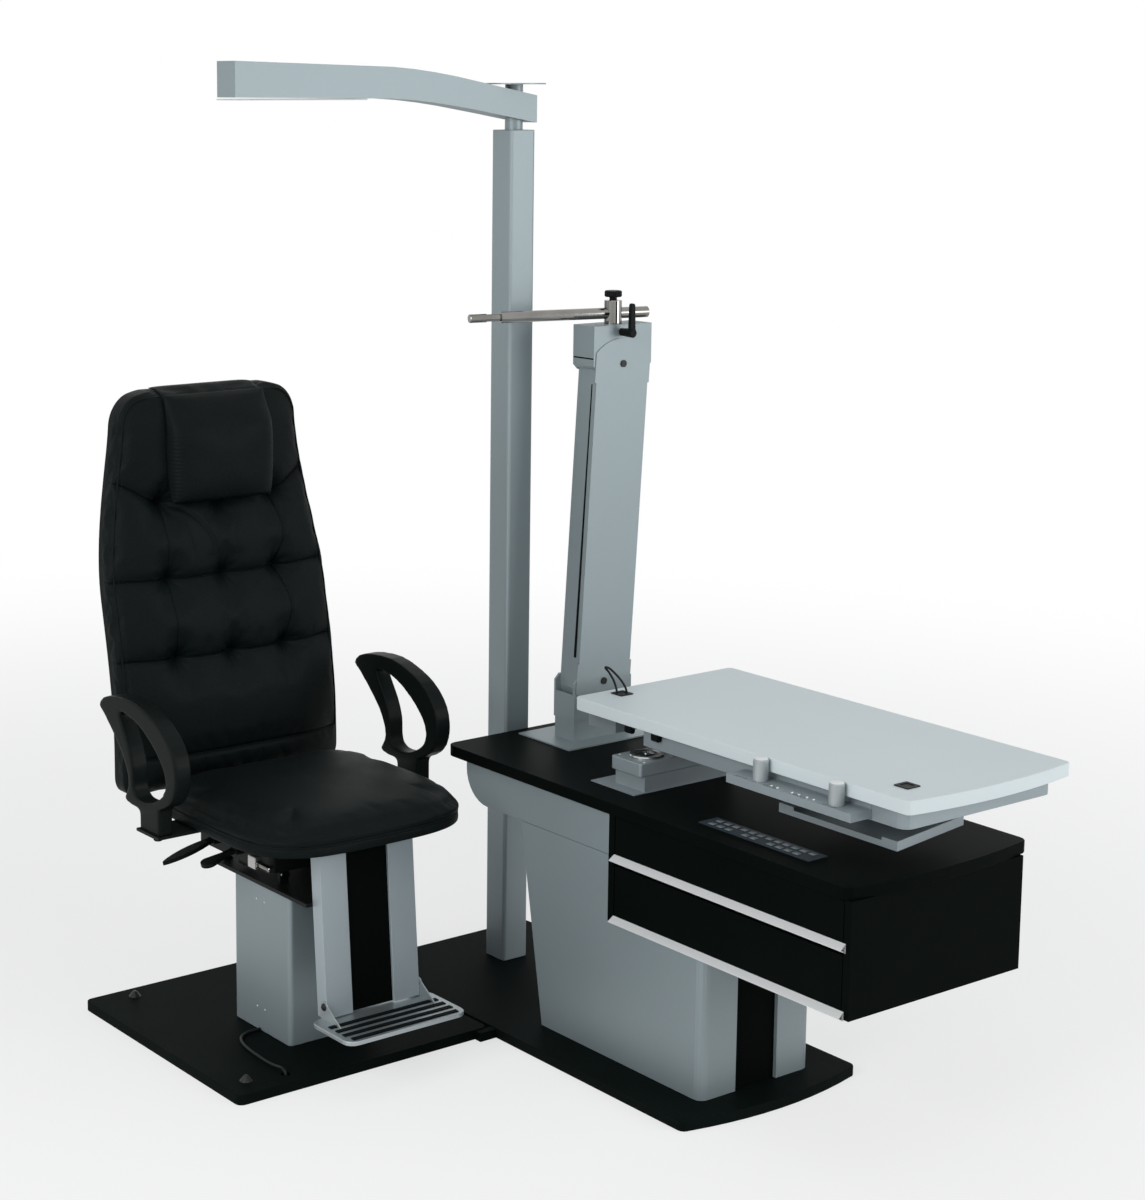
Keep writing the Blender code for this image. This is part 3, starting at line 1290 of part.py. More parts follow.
def build_forks():
    """The post on the desk and the head that stays upright."""
    level = DESK_TOP + GAP
    post = fork("arm_post", own_finish("arm_post", SILVER, 0.45, 0.3), ARM_X, PIVOT_LOW, 1,
                FORK_UNDER, FORK_SIDE_OPEN)
    foot = PIVOT_LOW - FORK_UNDER + FREE
    join_box(post, (ARM_X - FORK_HALF + FREE, ARM_FRONT + FREE, level),
             (ARM_X + FORK_HALF - FREE, ARM_BACK - FREE, foot))
    join_box(post, (ARM_X - BASE_PLATE_HALF, ARM_FRONT - BASE_PLATE_FRONT, level),
             (ARM_X + BASE_PLATE_HALF, ARM_BACK + BASE_PLATE_BACK, level + BASE_PLATE_THICK))
    head_x, head_z = upper_pivot()
    head = fork("arm_head", own_finish("arm_head", SILVER, 0.45, 0.3), head_x, head_z, -1,
                HEAD_OVER, HEAD_SIDE_OPEN)
    for owner, x, z in ((post, ARM_X, PIVOT_LOW), (head, head_x, head_z)):
        cut_round(owner, PIN_RADIUS + GAP, ARM_FRONT - CUT, ARM_BACK + CUT, "Y", (x, 0, z), 20)
        link_pin(owner, x - LINK_OFFSET, z)
    top = head_z + HEAD_OVER
    cut_round(head, SLEEVE_SPIGOT + GAP, top - CUT, top + CUT, "Z", (head_x, arm_middle(), 0), 24)
    boolean(head, round_mesh(CLAMP_BOLT + GAP, ARM_FRONT - CUT, ARM_FRONT + CHEEK + CUT, "Y", 16),
            "DIFFERENCE", (head_x - CLAMP_SIDE, 0, head_z + CLAMP_RISE))


def arm_middle():
    return (ARM_FRONT + ARM_BACK) / 2


def build_arm():
    """The hollow arm with its front cover, pins and parallel link."""
    turn = (0, ARM_LEAN, 0)
    place = along_arm(0)
    front = ARM_FRONT + CHEEK + GAP
    back = ARM_BACK - CHEEK - GAP
    outline = arc((0, PIVOT_APART), BODY_HALF, 0, 180, 14) + arc((0, 0), BODY_HALF, 180, 360, 14)
    body = add("arm_body", prism_mesh([outline], front, back, "Y"),
               own_finish("arm_body", SILVER, 0.45, 0.3), place, turn)
    hollow = BODY_HALF - BODY_WALL
    inner = arc((0, PIVOT_APART), hollow, 0, 180, 14) + arc((0, 0), hollow, 180, 360, 14)
    boolean(body, prism_mesh([inner], front - CUT, back - BODY_WALL, "Y"), "DIFFERENCE", place,
            turn)
    for distance in (0, PIVOT_APART):
        centre = along_arm(distance)
        boolean(body, round_mesh(PIN_BOSS, front, back - BODY_WALL / 2, "Y", 20), "UNION", centre,
                turn)
        boolean(body, round_mesh(PIN_RADIUS + GAP, front - CUT, back + CUT, "Y", 20),
                "DIFFERENCE", centre, turn)
    face = ARM_FRONT - GAP
    cover = add("arm_cover", prism_mesh([cover_outline()], face - COVER_THICK, face, "Y"),
                own_finish("arm_cover", SILVER, 0.42, 0.3), place, turn)
    for side in (-1, 1):
        low, high = sorted((side * COVER_HALF, side * (COVER_END + CUT)))
        notch, centre = box_mesh(
            (low, face - CUT, COVER_FLANGE_FROM), (high, face + CUT,
                                                   PIVOT_APART - COVER_FLANGE_FROM))
        notch.transform(Matrix.Translation(centre))
        boolean(cover, notch, "DIFFERENCE", place, turn)
        outer = COVER_HALF - GAP
        low, high = sorted((side * outer, side * (outer - COVER_THICK)))
        flange, centre = box_mesh(
            (low, face - COVER_THICK / 2, COVER_FLANGE_FROM + FREE),
            (high, face + COVER_FLANGE, PIVOT_APART - COVER_FLANGE_FROM - FREE))
        flange.transform(Matrix.Translation(centre))
        boolean(cover, flange, "UNION", place, turn)
    cap = face - COVER_THICK - GAP
    for name, distance in (("arm_pivot_pin_lower", 0), ("arm_pivot_pin_upper", PIVOT_APART)):
        cut_round(cover, PIN_RADIUS + GAP, ARM_FRONT - CUT, ARM_FRONT + CUT, "Y",
                  along_arm(distance), 20)
        profile = [
            (0, ARM_BACK), (PIN_RADIUS, ARM_BACK), (PIN_RADIUS, cap), (PIN_HEAD, cap),
            (PIN_HEAD, cap - PIN_HEAD_THICK), (0, cap - PIN_HEAD_THICK)]
        pin = turned_mesh(profile, 20)
        pin.transform(AXIS_TURN["Y"])
        pin.flip_normals()
        shade(add(name, pin, own_finish(name, COAL, 0.4, 0.6), along_arm(distance)))
    width = LINK_WIDTH / 2
    bar = arc((0, PIVOT_APART), width, 0, 180, 6) + arc((0, 0), width, 180, 360, 6)
    start = ARM_FRONT + CHEEK + FREE + GAP
    low = (ARM_X - LINK_OFFSET, 0, PIVOT_LOW)
    link = add("parallel_link", prism_mesh([bar], start, start + LINK_THICK, "Y"),
               own_finish("parallel_link", CHROME, 0.4, 0.9), low, turn)
    cut_round(link, LINK_PIN + GAP, ARM_FRONT, ARM_BACK, "Y", low, 16)
    head_x, head_z = upper_pivot()
    cut_round(link, LINK_PIN + LINK_PLAY, ARM_FRONT, ARM_BACK, "Y",
              (head_x - LINK_OFFSET, 0, head_z), 16)


def build_rod():
    """The turning sleeve on the head, its rod, its knob and the clamp lever."""
    head_x, head_z = upper_pivot()
    base = head_z + HEAD_OVER + GAP
    centre = (head_x, arm_middle(), base)
    knob_low = SLEEVE_HEIGHT + GAP
    rod = ROD_THICK / 2
    edge = FREE / 2
    profile = [
        (0, SLEEVE_HEIGHT), (SLEEVE_RADIUS - edge, SLEEVE_HEIGHT),
        (SLEEVE_RADIUS, SLEEVE_HEIGHT - edge), (SLEEVE_RADIUS, 0), (SLEEVE_SPIGOT, 0),
        (SLEEVE_SPIGOT, -SPIGOT_DEEP), (0, -SPIGOT_DEEP)]
    sleeve = add("rod_clamp_sleeve", turned_mesh(profile, 32),
                 own_finish("rod_clamp_sleeve", CHROME, 0.12, 1.0), centre)
    boolean(sleeve, round_mesh(rod + GAP, -SLEEVE_RADIUS * 2, SLEEVE_RADIUS * 2, "X", 32),
            "DIFFERENCE", (head_x, arm_middle(), base + ROD_LEVEL), (0, 0, ROD_YAW))
    boolean(sleeve, round_mesh(KNOB_NECK + GAP, ROD_LEVEL, SLEEVE_HEIGHT + CUT, "Z", 24),
            "DIFFERENCE", centre)
    shade(sleeve)
    neck = ROD_THICK * TIP_NECK_SHARE / 2
    tip = ROD_THICK * TIP_END_SHARE / 2
    shaft_end = ROD_REACH - TIP_NECK - TIP_END
    profile = [
        (0, ROD_REACH), (tip - edge, ROD_REACH), (tip, ROD_REACH - edge),
        (tip, ROD_REACH - TIP_END), (neck, ROD_REACH - TIP_END), (neck, shaft_end),
        (rod, shaft_end), (rod, edge - ROD_TAIL), (rod - edge, -ROD_TAIL), (0, -ROD_TAIL)]
    mesh = turned_mesh(profile, 28)
    mesh.transform(AXIS_TURN["X"])
    shade(add("support_rod", mesh, own_finish("support_rod", CHROME, 0.14, 1.0),
              (head_x, arm_middle(), base + ROD_LEVEL), (0, 0, ROD_YAW)))
    top = knob_low + KNOB_STAND + KNOB_HEIGHT
    profile = [
        (0, top), (KNOB_RADIUS - FREE, top), (KNOB_RADIUS, top - FREE),
        (KNOB_RADIUS, top - KNOB_HEIGHT + FREE), (KNOB_RADIUS - FREE, top - KNOB_HEIGHT),
        (KNOB_NECK, top - KNOB_HEIGHT), (KNOB_NECK, ROD_LEVEL + rod + GAP),
        (0, ROD_LEVEL + rod + GAP)]
    knob = add("rod_knob", turned_mesh(profile, 30), own_finish("rod_knob", COAL, 0.4), centre)
    flutes = bmesh.new()
    for step in range(KNOB_FLUTES):
        angle = 2 * math.pi * (step + 0.5) / KNOB_FLUTES
        flute = round_mesh(FLUTE, knob_low + KNOB_STAND - FREE, top + CUT, "Z", 10)
        reach = KNOB_RADIUS + FLUTE / 2
        flute.transform(Matrix.Translation((reach * math.cos(angle), reach * math.sin(angle), 0)))
        flutes.from_mesh(flute)
        bpy.data.meshes.remove(flute)
    mesh = bpy.data.meshes.new("flutes")
    flutes.to_mesh(mesh)
    flutes.free()
    boolean(knob, mesh, "DIFFERENCE", centre)
    shade(knob)
    start = ARM_FRONT - GAP
    bolt = ARM_FRONT + CHEEK - GAP
    wide = CLAMP_HUB * 1.22
    outer = start - CLAMP_STAND
    profile = [
        (0, bolt), (CLAMP_BOLT, bolt), (CLAMP_BOLT, start), (CLAMP_HUB, start),
        (wide, outer + FREE), (wide - FREE, outer), (0, outer)]
    mesh = turned_mesh(profile, 20)
    mesh.transform(AXIS_TURN["Y"])
    mesh.flip_normals()
    place = (head_x - CLAMP_SIDE, 0, head_z + CLAMP_RISE)
    clamp = add("clamp_lever", mesh, own_finish("clamp_lever", COAL, 0.4), place)
    reach = CLAMP_REACH - CLAMP_NARROW / 2
    blade = ([(-CLAMP_WIDE / 2, 0), (CLAMP_WIDE / 2, 0), (CLAMP_NARROW / 2, reach)]
             + arc((0, reach), CLAMP_NARROW / 2, 15, 165, 5) + [(-CLAMP_NARROW / 2, reach)])
    boolean(clamp, prism_mesh([blade], outer + FREE, outer + CLAMP_STAND * 0.28, "Y"), "UNION",
            place)
    shade(clamp)


def build_bearing():
    """The turning bearing of the table on the desk, with the slide rail."""
    level = DESK_TOP + GAP
    low = TURN_Y - BOX_HALF
    high = TURN_Y + BOX_HALF
    base = box("table_bearing_base", (BOX_LEFT, low, level), (BOX_RIGHT - BOX_OVER, high, BOX_TOP),
               own_finish("table_bearing_base", SILVER, 0.45, 0.3))
    join_box(base, (FLANGE_LEFT, low - FREE, level),
             (BOX_RIGHT + FREE, high + FLANGE_SIDE, level + FLANGE))
    cut_round(base, TURN_PIN + GAP, level + FLANGE * 2, BOX_TOP + CUT, "Z", (TURN_X, TURN_Y, 0))
    start = BOX_TOP + GAP
    swing = prism(
        "table_swing_arm",
        [rounded(BOX_LEFT - BOX_OVER, BOX_RIGHT, low - EDGE, high + EDGE, SWING_ROUND, 3)],
        start, SWING_TOP, own_finish("table_swing_arm", SILVER, 0.45, 0.3),
        rounding=EDGE, segments=1)
    boolean(swing, round_mesh(TURN_PIN, level + FLANGE * 2 + GAP, start + FREE, "Z", 24), "UNION",
            (TURN_X, TURN_Y, 0))
    join_box(swing, (RAIL_LEFT + FREE, low + FREE, SWING_TOP - FREE),
             (RAIL_LEFT + RAIL_WIDTH - FREE, high - FREE, RAIL_BOTTOM + FREE))
    join_box(swing, (RAIL_LEFT, RAIL_END, RAIL_BOTTOM),
             (RAIL_LEFT + RAIL_WIDTH, RAIL_START, RAIL_BOTTOM + RAIL_HEIGHT))
    ring_low = SWING_TOP + GAP
    profile = [
        (0, ring_low + RING_HEIGHT / 2), (RING_HOLE, ring_low + RING_HEIGHT / 2),
        (RING_HOLE, ring_low + RING_HEIGHT), (RING_RADIUS - FREE, ring_low + RING_HEIGHT),
        (RING_RADIUS, ring_low + RING_HEIGHT / 2), (RING_RADIUS, ring_low), (0, ring_low)]
    ring = add("bearing_ring", turned_mesh(profile, 32),
               own_finish("bearing_ring", CHROME, 0.2, 1.0), (TURN_X, TURN_Y, 0))
    shade(ring)
    floor = TRAY_BOTTOM
    outline = [(TRAY_LEFT, TRAY_START), (TRAY_LEFT, TRAY_END), (TRAY_RIGHT, TRAY_END + TRAY_SKEW),
               (TRAY_RIGHT, TRAY_START)]
    top = floor + TRAY_LIP
    boolean(swing, prism_mesh([outline], floor, top), "UNION")
    wall = FREE
    hollow = [(TRAY_LEFT + wall, TRAY_START - wall), (TRAY_LEFT + wall, TRAY_END + wall * 1.5),
              (TRAY_RIGHT - wall, TRAY_END + TRAY_SKEW + wall * 1.2),
              (TRAY_RIGHT - wall, TRAY_START - wall)]
    boolean(swing, prism_mesh([hollow], floor + wall, top + CUT))
    cut_box(swing, (TRAY_LEFT - CUT, TRAY_END + TRAY_NOTCH_INSET, top - TRAY_NOTCH),
            (TRAY_LEFT + CUT, TRAY_START - TRAY_NOTCH_INSET, top + CUT))
    join_box(swing, (RAIL_LEFT + FREE, RAIL_END + FREE, floor + wall / 2),
             (RAIL_LEFT + RAIL_WIDTH - FREE, TRAY_START - TRAY_NOTCH_INSET * 2,
              RAIL_BOTTOM + FREE))


def build_table():
    """The white top with the frame that slides along the rail."""
    slab_low = TABLE_TOP - TABLE_BOARD
    top = prism("table_top",
                [bowed(TABLE_LEFT, TABLE_RIGHT, TABLE_FRONT, TABLE_BACK, DESK_ROUND / 2,
                       TABLE_BOW)],
                slab_low, TABLE_TOP, own_finish("table_top", WHITE, 0.4), rounding=EDGE,
                segments=1)
    under = slab_low - GAP
    places = [(TABLE_LEFT + GROMMET_INSET_SIDE + EDGE * 8, TABLE_BACK - GROMMET_INSET_END),
              (TABLE_LEFT + GROMMET_INSET_FAR, TABLE_FRONT + GROMMET_INSET_FAR)]
    half = GROMMET_HOLE / 2
    edge = GROMMET / 2
    for number, (x, y) in enumerate(places, 1):
        node = "table_grommet_" + str(number)
        cut_box(top, (x - half - GAP, y - half - GAP, slab_low - CUT),
                (x + half + GAP, y + half + GAP, TABLE_TOP + CUT))
        flat = prism_mesh(
            [rounded(x - edge, x + edge, y - edge, y + edge, FREE, 2),
             list(reversed(rounded(x - half + FREE, x + half - FREE, y - half + FREE,
                                   y + half - FREE, FREE, 2)))],
            TABLE_TOP + GAP, TABLE_TOP + GAP + GROMMET_THICK)
        recentre(add(node, flat, own_finish(node, COAL, 0.5)))
    x, y = places[0]
    inside = half - CABLE - FREE * 1.5
    loop = [
        (x - inside, y + inside, slab_low + FREE), (x - inside, y + inside, TABLE_TOP),
        (x - inside * 1.6, y + inside * 2, TABLE_TOP + CUT * 1.2),
        (x - inside * 3, y + inside * 3.5, TABLE_TOP + CUT * 2.6),
        (x - inside * 3.6, y + inside * 4, TABLE_TOP + CUT * 2.95),
        (x - inside * 3.2, y + inside * 2.4, TABLE_TOP + CUT * 2.7),
        (x - inside * 1.2, y + inside * 0.2, TABLE_TOP + CUT * 1.8),
        (x + inside * 0.4, y - inside * 0.6, TABLE_TOP + CUT * 0.9),
        (x + inside, y - inside, TABLE_TOP), (x + inside, y - inside, slab_low + FREE)]
    tube("table_cable", smooth_points(loop, 3), CABLE, own_finish("table_cable", COAL, 0.5), 1)
    ledge = prism("table_frame",
                  [rounded(BEAM_X + EDGE, HOUSING_RIGHT, HOUSING_END, HOUSING_START,
                           HOUSING_ROUND, 4)],
                  BEAM_LOW, under, own_finish("table_frame", SILVER, 0.45, 0.3))
    join_box(ledge, (LEDGE_LEFT, HOUSING_START - CUT, LEDGE_BOTTOM),
             (BEAM_X + BEAM_THICK, LEDGE_START, LEDGE_TOP))
    join_box(ledge, (BEAM_X, HOUSING_START - CUT, BEAM_LOW), (BEAM_X + BEAM_THICK, BEAM_START,
                                                              under - FREE / 4))
    centre_x = TABLE_LEFT - GUIDE_RADIUS - GAP * 3
    for number in range(2):
        node = "table_guide_" + str(number + 1)
        centre_y = LEDGE_START - GUIDE_INSET - GUIDE_APART * number
        low = LEDGE_TOP + GAP
        profile = [
            (0, low + GUIDE_RISE), (GUIDE_RADIUS - FREE, low + GUIDE_RISE),
            (GUIDE_RADIUS, low + GUIDE_RISE - FREE), (GUIDE_RADIUS, low), (0, low)]
        shade(add(node, turned_mesh(profile, 24), own_finish(node, SILVER, 0.4, 0.3),
                  (centre_x, centre_y, 0)))
    for step in range(SLOT_COUNT):
        y = LEDGE_START - CUT - step * SLOT_PITCH * 1.45
        x = BEAM_X + EDGE
        cut_box(ledge, (LEDGE_LEFT + FREE * 2, y - SLOT_LENGTH, LEDGE_BOTTOM - CUT),
                (LEDGE_LEFT + FREE * 2 + SLOT_WIDTH, y, LEDGE_TOP + CUT))
    join_box(ledge, (RAIL_LEFT - SHEET - GAP, HOUSING_START - FREE, RAIL_BOTTOM + SHEET),
             (RAIL_LEFT + RAIL_WIDTH + SHEET + GAP, CARRIAGE_START, under - FREE / 4))
    join_box(ledge, (RAIL_LEFT - CUT * 2, REAR_BOX_END + FREE,
                     RAIL_BOTTOM + RAIL_HEIGHT + SHEET),
             (RAIL_LEFT + RAIL_WIDTH - FREE, CARRIAGE_START - FREE, under - FREE / 8))
    join_box(ledge, (TABLE_LEFT + REAR_BOX_INSET, REAR_BOX_END, REAR_BOX_LOW),
             (RAIL_LEFT - CUT / 2, REAR_BOX_START, under - FREE / 2))
    cut_box(ledge, (RAIL_LEFT - GAP, HOUSING_END + CUT, RAIL_BOTTOM - CUT),
            (RAIL_LEFT + RAIL_WIDTH + GAP, REAR_BOX_START, RAIL_BOTTOM + RAIL_HEIGHT + GAP))


def build_cables():
    """The lead on the floor plate, from the column's foot into the plate."""
    half = COLUMN / 2
    rest = PLATE + GAP + FLOOR_CABLE
    end_x, end_y = CABLE_END
    points = [
        (-half - FREE, CABLE_START_Y, rest), (-half - CUT, CABLE_START_Y, rest),
        ((end_x - half) / 2 - CUT, CABLE_START_Y - CUT, rest),
        (end_x + FREE, end_y * CABLE_BEND_SHARE, rest), (end_x - FREE, end_y + CUT * 2, rest),
        (end_x, end_y + FLOOR_CABLE * 2.5, rest), (end_x, end_y, PLATE - FLOOR_CABLE),
        (end_x, end_y, PLATE / 2 - FREE)]
    tube("floor_cable", smooth_points(points, 3), FLOOR_CABLE,
         own_finish("floor_cable", COAL, 0.5), 1)
    cut_round(bpy.data.objects["chair_base_plate"], FLOOR_CABLE * 3, FREE, PLATE + CUT, "Z",
              (end_x, end_y, 0), 16)


build_base()
build_column()
build_lift()
build_footrest()
build_seat_frame()
build_cushions()
build_bracket()
build_armrests()
build_lamp()
build_desk()
build_cabinet()
build_forks()
build_arm()
build_rod()
build_bearing()
build_table()
build_cables()
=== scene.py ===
"""Looks of the refraction unit: a patient chair on its lift column beside a drawer
console that carries an instrument arm, a sliding table and a lamp on a tall column.
Metres, +Z up, in the same frame as the solids."""
import math
from itertools import product

import bmesh
import bpy
from mathutils import Matrix, Vector, noise
from mathutils.bvhtree import BVHTree


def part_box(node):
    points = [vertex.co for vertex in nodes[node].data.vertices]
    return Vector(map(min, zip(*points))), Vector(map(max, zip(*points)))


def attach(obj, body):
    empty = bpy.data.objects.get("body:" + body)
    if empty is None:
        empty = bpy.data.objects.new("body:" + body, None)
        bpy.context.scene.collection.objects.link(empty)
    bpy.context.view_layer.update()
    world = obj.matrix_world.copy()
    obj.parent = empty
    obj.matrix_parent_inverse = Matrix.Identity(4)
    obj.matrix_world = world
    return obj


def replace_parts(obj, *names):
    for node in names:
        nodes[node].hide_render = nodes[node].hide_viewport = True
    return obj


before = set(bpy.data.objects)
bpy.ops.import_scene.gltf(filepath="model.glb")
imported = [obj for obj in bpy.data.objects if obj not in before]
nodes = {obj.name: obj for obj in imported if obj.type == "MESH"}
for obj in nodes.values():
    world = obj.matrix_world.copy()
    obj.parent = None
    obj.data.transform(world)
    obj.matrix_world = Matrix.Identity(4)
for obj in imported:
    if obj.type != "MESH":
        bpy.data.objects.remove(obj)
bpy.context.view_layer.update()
scene = bpy.context.scene
scene.view_settings.view_transform = "Standard"

# The camera. It stands where the photographer did, two metres up in front of the
# chair's left corner, with a long lens. The picture was cropped off its axis.
PHOTO_WIDE = 1145
PHOTO_TALL = 1200
FOCAL_PIXELS = 2414.04
AXIS_PIXEL = (387.0, 485.34)
CAMERA_TURN = math.radians(-35.6785)
CAMERA_DIP = math.radians(9.4015)
CAMERA_ROLL = math.radians(0.0527)
CAMERA_PLACE = (-2.793, -4.1991, 2.0468)
SENSOR = 36


def put(thing, **settings):
    """Give a thing its settings."""
    for name, value in settings.items():
        setattr(thing, name, value)
    return thing


def placed(name, data):
    """A new object in the scene."""
    thing = bpy.data.objects.new(name, data)
    scene.collection.objects.link(thing)
    return thing


back = Vector((math.sin(CAMERA_TURN) * math.cos(CAMERA_DIP),
               -math.cos(CAMERA_TURN) * math.cos(CAMERA_DIP), math.sin(CAMERA_DIP)))
level = Vector((math.cos(CAMERA_TURN), math.sin(CAMERA_TURN), 0))
rise = back.cross(level)
right = level * math.cos(CAMERA_ROLL) + rise * math.sin(CAMERA_ROLL)
over = rise * math.cos(CAMERA_ROLL) - level * math.sin(CAMERA_ROLL)
optics = put(bpy.data.cameras.new("photo_camera"), sensor_width=SENSOR,
             lens=FOCAL_PIXELS / PHOTO_TALL * SENSOR, clip_end=100,
             shift_x=(PHOTO_WIDE / 2 - AXIS_PIXEL[0]) / PHOTO_TALL,
             shift_y=(AXIS_PIXEL[1] - PHOTO_TALL / 2) / PHOTO_TALL)
scene.camera = placed("photo_camera", optics)
scene.camera.matrix_world = Matrix.Translation(CAMERA_PLACE) @ Matrix(
    (right, over, back)).transposed().to_4x4()

# The lead of the table. A thin black lead comes up through the rear grommet,
# makes a small loop above the white board and goes back down beside itself.
LEAD = 0.005


class Value:
    """A number that changes over a surface: a node's output with Python's operators."""

    def __init__(self, home, socket):
        self.home = home
        self.socket = socket

    def other(self, name):
        """Another output of the same node."""
        return Value(self.home, self.socket.node.outputs[name])

    def maths(self, operation, *values):
        """One step of reckoning on values and numbers."""
        return self.home.node("ShaderNodeMath", {"operation": operation},
                              dict(enumerate(values)))

    def __add__(self, other):
        return self.maths("ADD", self, other)

    def __sub__(self, other):
        return self.maths("SUBTRACT", self, other)

    def __rsub__(self, other):
        return self.maths("SUBTRACT", other, self)

    def __mul__(self, other):
        return self.maths("MULTIPLY", self, other)

    def __abs__(self):
        return self.maths("ABSOLUTE", self)

    __radd__ = __add__
    __rmul__ = __mul__

    def ramp(self, low, high, first=0.0, last=1.0):
        """A smooth step from first to last while the value goes from low to high."""
        return self.home.node(
            "ShaderNodeMapRange", {"interpolation_type": "SMOOTHSTEP"},
            {"Value": self, "From Min": low, "From Max": high, "To Min": first, "To Max": last})


class Nodes:
    """The nodes of a material or a world."""

    def __init__(self, owner):
        owner.use_nodes = True
        self.tree = owner.node_tree

    def node(self, kind, settings, values, output=0):
        """A new node, with its inputs plugged, as the value of one output."""
        made = put(self.tree.nodes.new(kind), **settings)
        for name, value in values.items():
            self.plug(made.inputs[name], value)
        return Value(self, made.outputs[output])

    def plug(self, socket, value):
        """Link a value to a socket, or set a constant on it."""
        if isinstance(value, Value):
            self.tree.links.new(value.socket, socket)
        elif socket.type == "RGBA":
            socket.default_value = (*value, 1)
        else:
            socket.default_value = value


class Finish(Nodes):
    """A surface finish: one Principled shader and the nodes that vary it."""

    def __init__(self, name, **sockets):
        self.material = bpy.data.materials.new(name)
        super().__init__(self.material)
        self.shader = self.tree.nodes["Principled BSDF"]
        self.place = self.node("ShaderNodeTexCoord", {}, {}, "Object")
        self.relief = None
        self.set(**sockets)

    def set(self, **sockets):
        """Set the shader's own sockets, such as base_color or roughness."""
        for name, value in sockets.items():
            title = name.replace("_", " ").title().replace("Ior", "IOR")
            self.plug(self.shader.inputs[title], value)

    def stretched(self, scale):
        """The place on the object, with each axis scaled."""
        return self.node("ShaderNodeMapping", {}, {"Vector": self.place, "Scale": scale})

    def grain(self, scale, detail=2.0, place=None):
        """Noise with features about 1/scale metres wide."""
        return self.node("ShaderNodeTexNoise", {},
                         {"Vector": place or self.place, "Scale": scale, "Detail": detail})

    def mix(self, share, first, second):
        """A colour between two colours."""
        return self.node("ShaderNodeMix", {"data_type": "RGBA"}, {0: share, 6: first, 7: second}, 2)

    def bump(self, height, distance, strength=1.0):
        """Relief, on top of what relief there is."""
        values = {"Height": height, "Distance": distance, "Strength": strength}
        if self.relief:
            values["Normal"] = self.relief
        self.relief = self.node("ShaderNodeBump", {}, values)
        self.set(normal=self.relief)

    def mottle(self, grain, span, rough, first=None, last=None, depth=0):
        """Let a grain vary the roughness, and the colour and relief where they are given."""
        self.set(roughness=grain * span + rough)
        if first:
            self.set(base_color=self.mix(grain, first, last))
        if depth:
            self.bump(grain, depth)

    def on(self, *names):
        """Give this finish to solids that are shown as they are."""
        for name in names:
            for slot in nodes[name].material_slots:
                slot.material = self.material


def piece(name, mesh, finish, body, slot=None, smooth=True):
    """A new piece at the origin, riding on a body."""
    thing = placed(name, mesh)
    if finish:
        mesh.materials.clear()
        mesh.materials.append(finish.material)
    if smooth:
        mesh.shade_smooth()
    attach(thing, body)
    return thing


lead_jacket = Finish("lead_jacket", base_color=(0.006, 0.008, 0.008), specular_ior_level=0.2)
lead_jacket.mottle(lead_jacket.grain(900, 3), 0.2, 0.38, depth=0.0001)


def curved(points, steps):
    """A Catmull-Rom curve through points, with steps in each span."""
    knots = [Vector(point) for point in points]
    result = []
    for a, b, c, d in zip(knots[:1] + knots, knots, knots[1:], knots[2:] + knots[-1:]):
        for step in range(steps):
            t = step / steps
            result.append((2 * b + (c - a) * t + (2 * a - 5 * b + 4 * c - d) * t * t
                           + (3 * b - a - 3 * c + d) * t * t * t) / 2)
    return result + [knots[-1]]


def flex(name, route, diameter, finish, body, node):
    """A round lead along its route, which stands for its solid."""
    points = curved(route, 8)
    line = put(bpy.data.curves.new(name, "CURVE"), dimensions="3D", bevel_depth=diameter / 2,
               bevel_resolution=6, use_fill_caps=True)
    line.materials.append(finish.material)
    spline = line.splines.new("POLY")
    spline.points.add(len(points) - 1)
    for target, point in zip(spline.points, points):
        target.co = (*point, 1)
    thing = placed(name, line)
    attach(thing, body)
    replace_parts(thing, node)
    real = sum((b - a).length for a, b in zip(points, points[1:]))


flex("table_lead",
     [(0.6141, -0.3185, 0.708), (0.6141, -0.3185, 0.734), (0.6100, -0.3130, 0.760),
      (0.6020, -0.3040, 0.781), (0.5965, -0.2990, 0.7900), (0.5955, -0.3030, 0.7930),
      (0.6010, -0.3110, 0.7890), (0.6140, -0.3240, 0.7710), (0.6246, -0.3315, 0.752),
      (0.6291, -0.3335, 0.734), (0.6291, -0.3335, 0.708)],
     LEAD, lead_jacket, "table", "table_cable")

# The lead on the floor plate. It leaves the foot of the chair's column, lies in
# a loose curve on the steel plate and dips into a hole through it.
FLOOR_LEAD = 0.007
flex("floor_lead",
     [(-0.112, 0.006, 0.0258), (-0.130, 0.006, 0.0258), (-0.153, 0.001, 0.0258),
      (-0.1725, -0.014, 0.0258), (-0.186, -0.043, 0.0258), (-0.193, -0.080, 0.0258),
      (-0.1965, -0.130, 0.0258), (-0.197, -0.170, 0.0260), (-0.1962, -0.195, 0.0285),
      (-0.1955, -0.209, 0.0300), (-0.195, -0.2185, 0.0265), (-0.195, -0.222, 0.0180),
      (-0.195, -0.222, 0.009)],
     FLOOR_LEAD, lead_jacket, "console", "floor_cable")

# The studio. A pale floor and a white surround, one large soft light from the
# left as in the photograph, a weaker one from the right and one overhead.
ROOM = 14.0
AMBIENT = 0.36
FLOOR_SINK = 0.0004
SHADOW_REACH = 1.2
WHITE_FROM = 5.5
WHITE = (1, 1, 1)


def kept(bm, name):
    """The finished mesh of a shape built up in bm."""
    mesh = bpy.data.meshes.new(name)
    bm.to_mesh(mesh)
    bm.free()
    return mesh


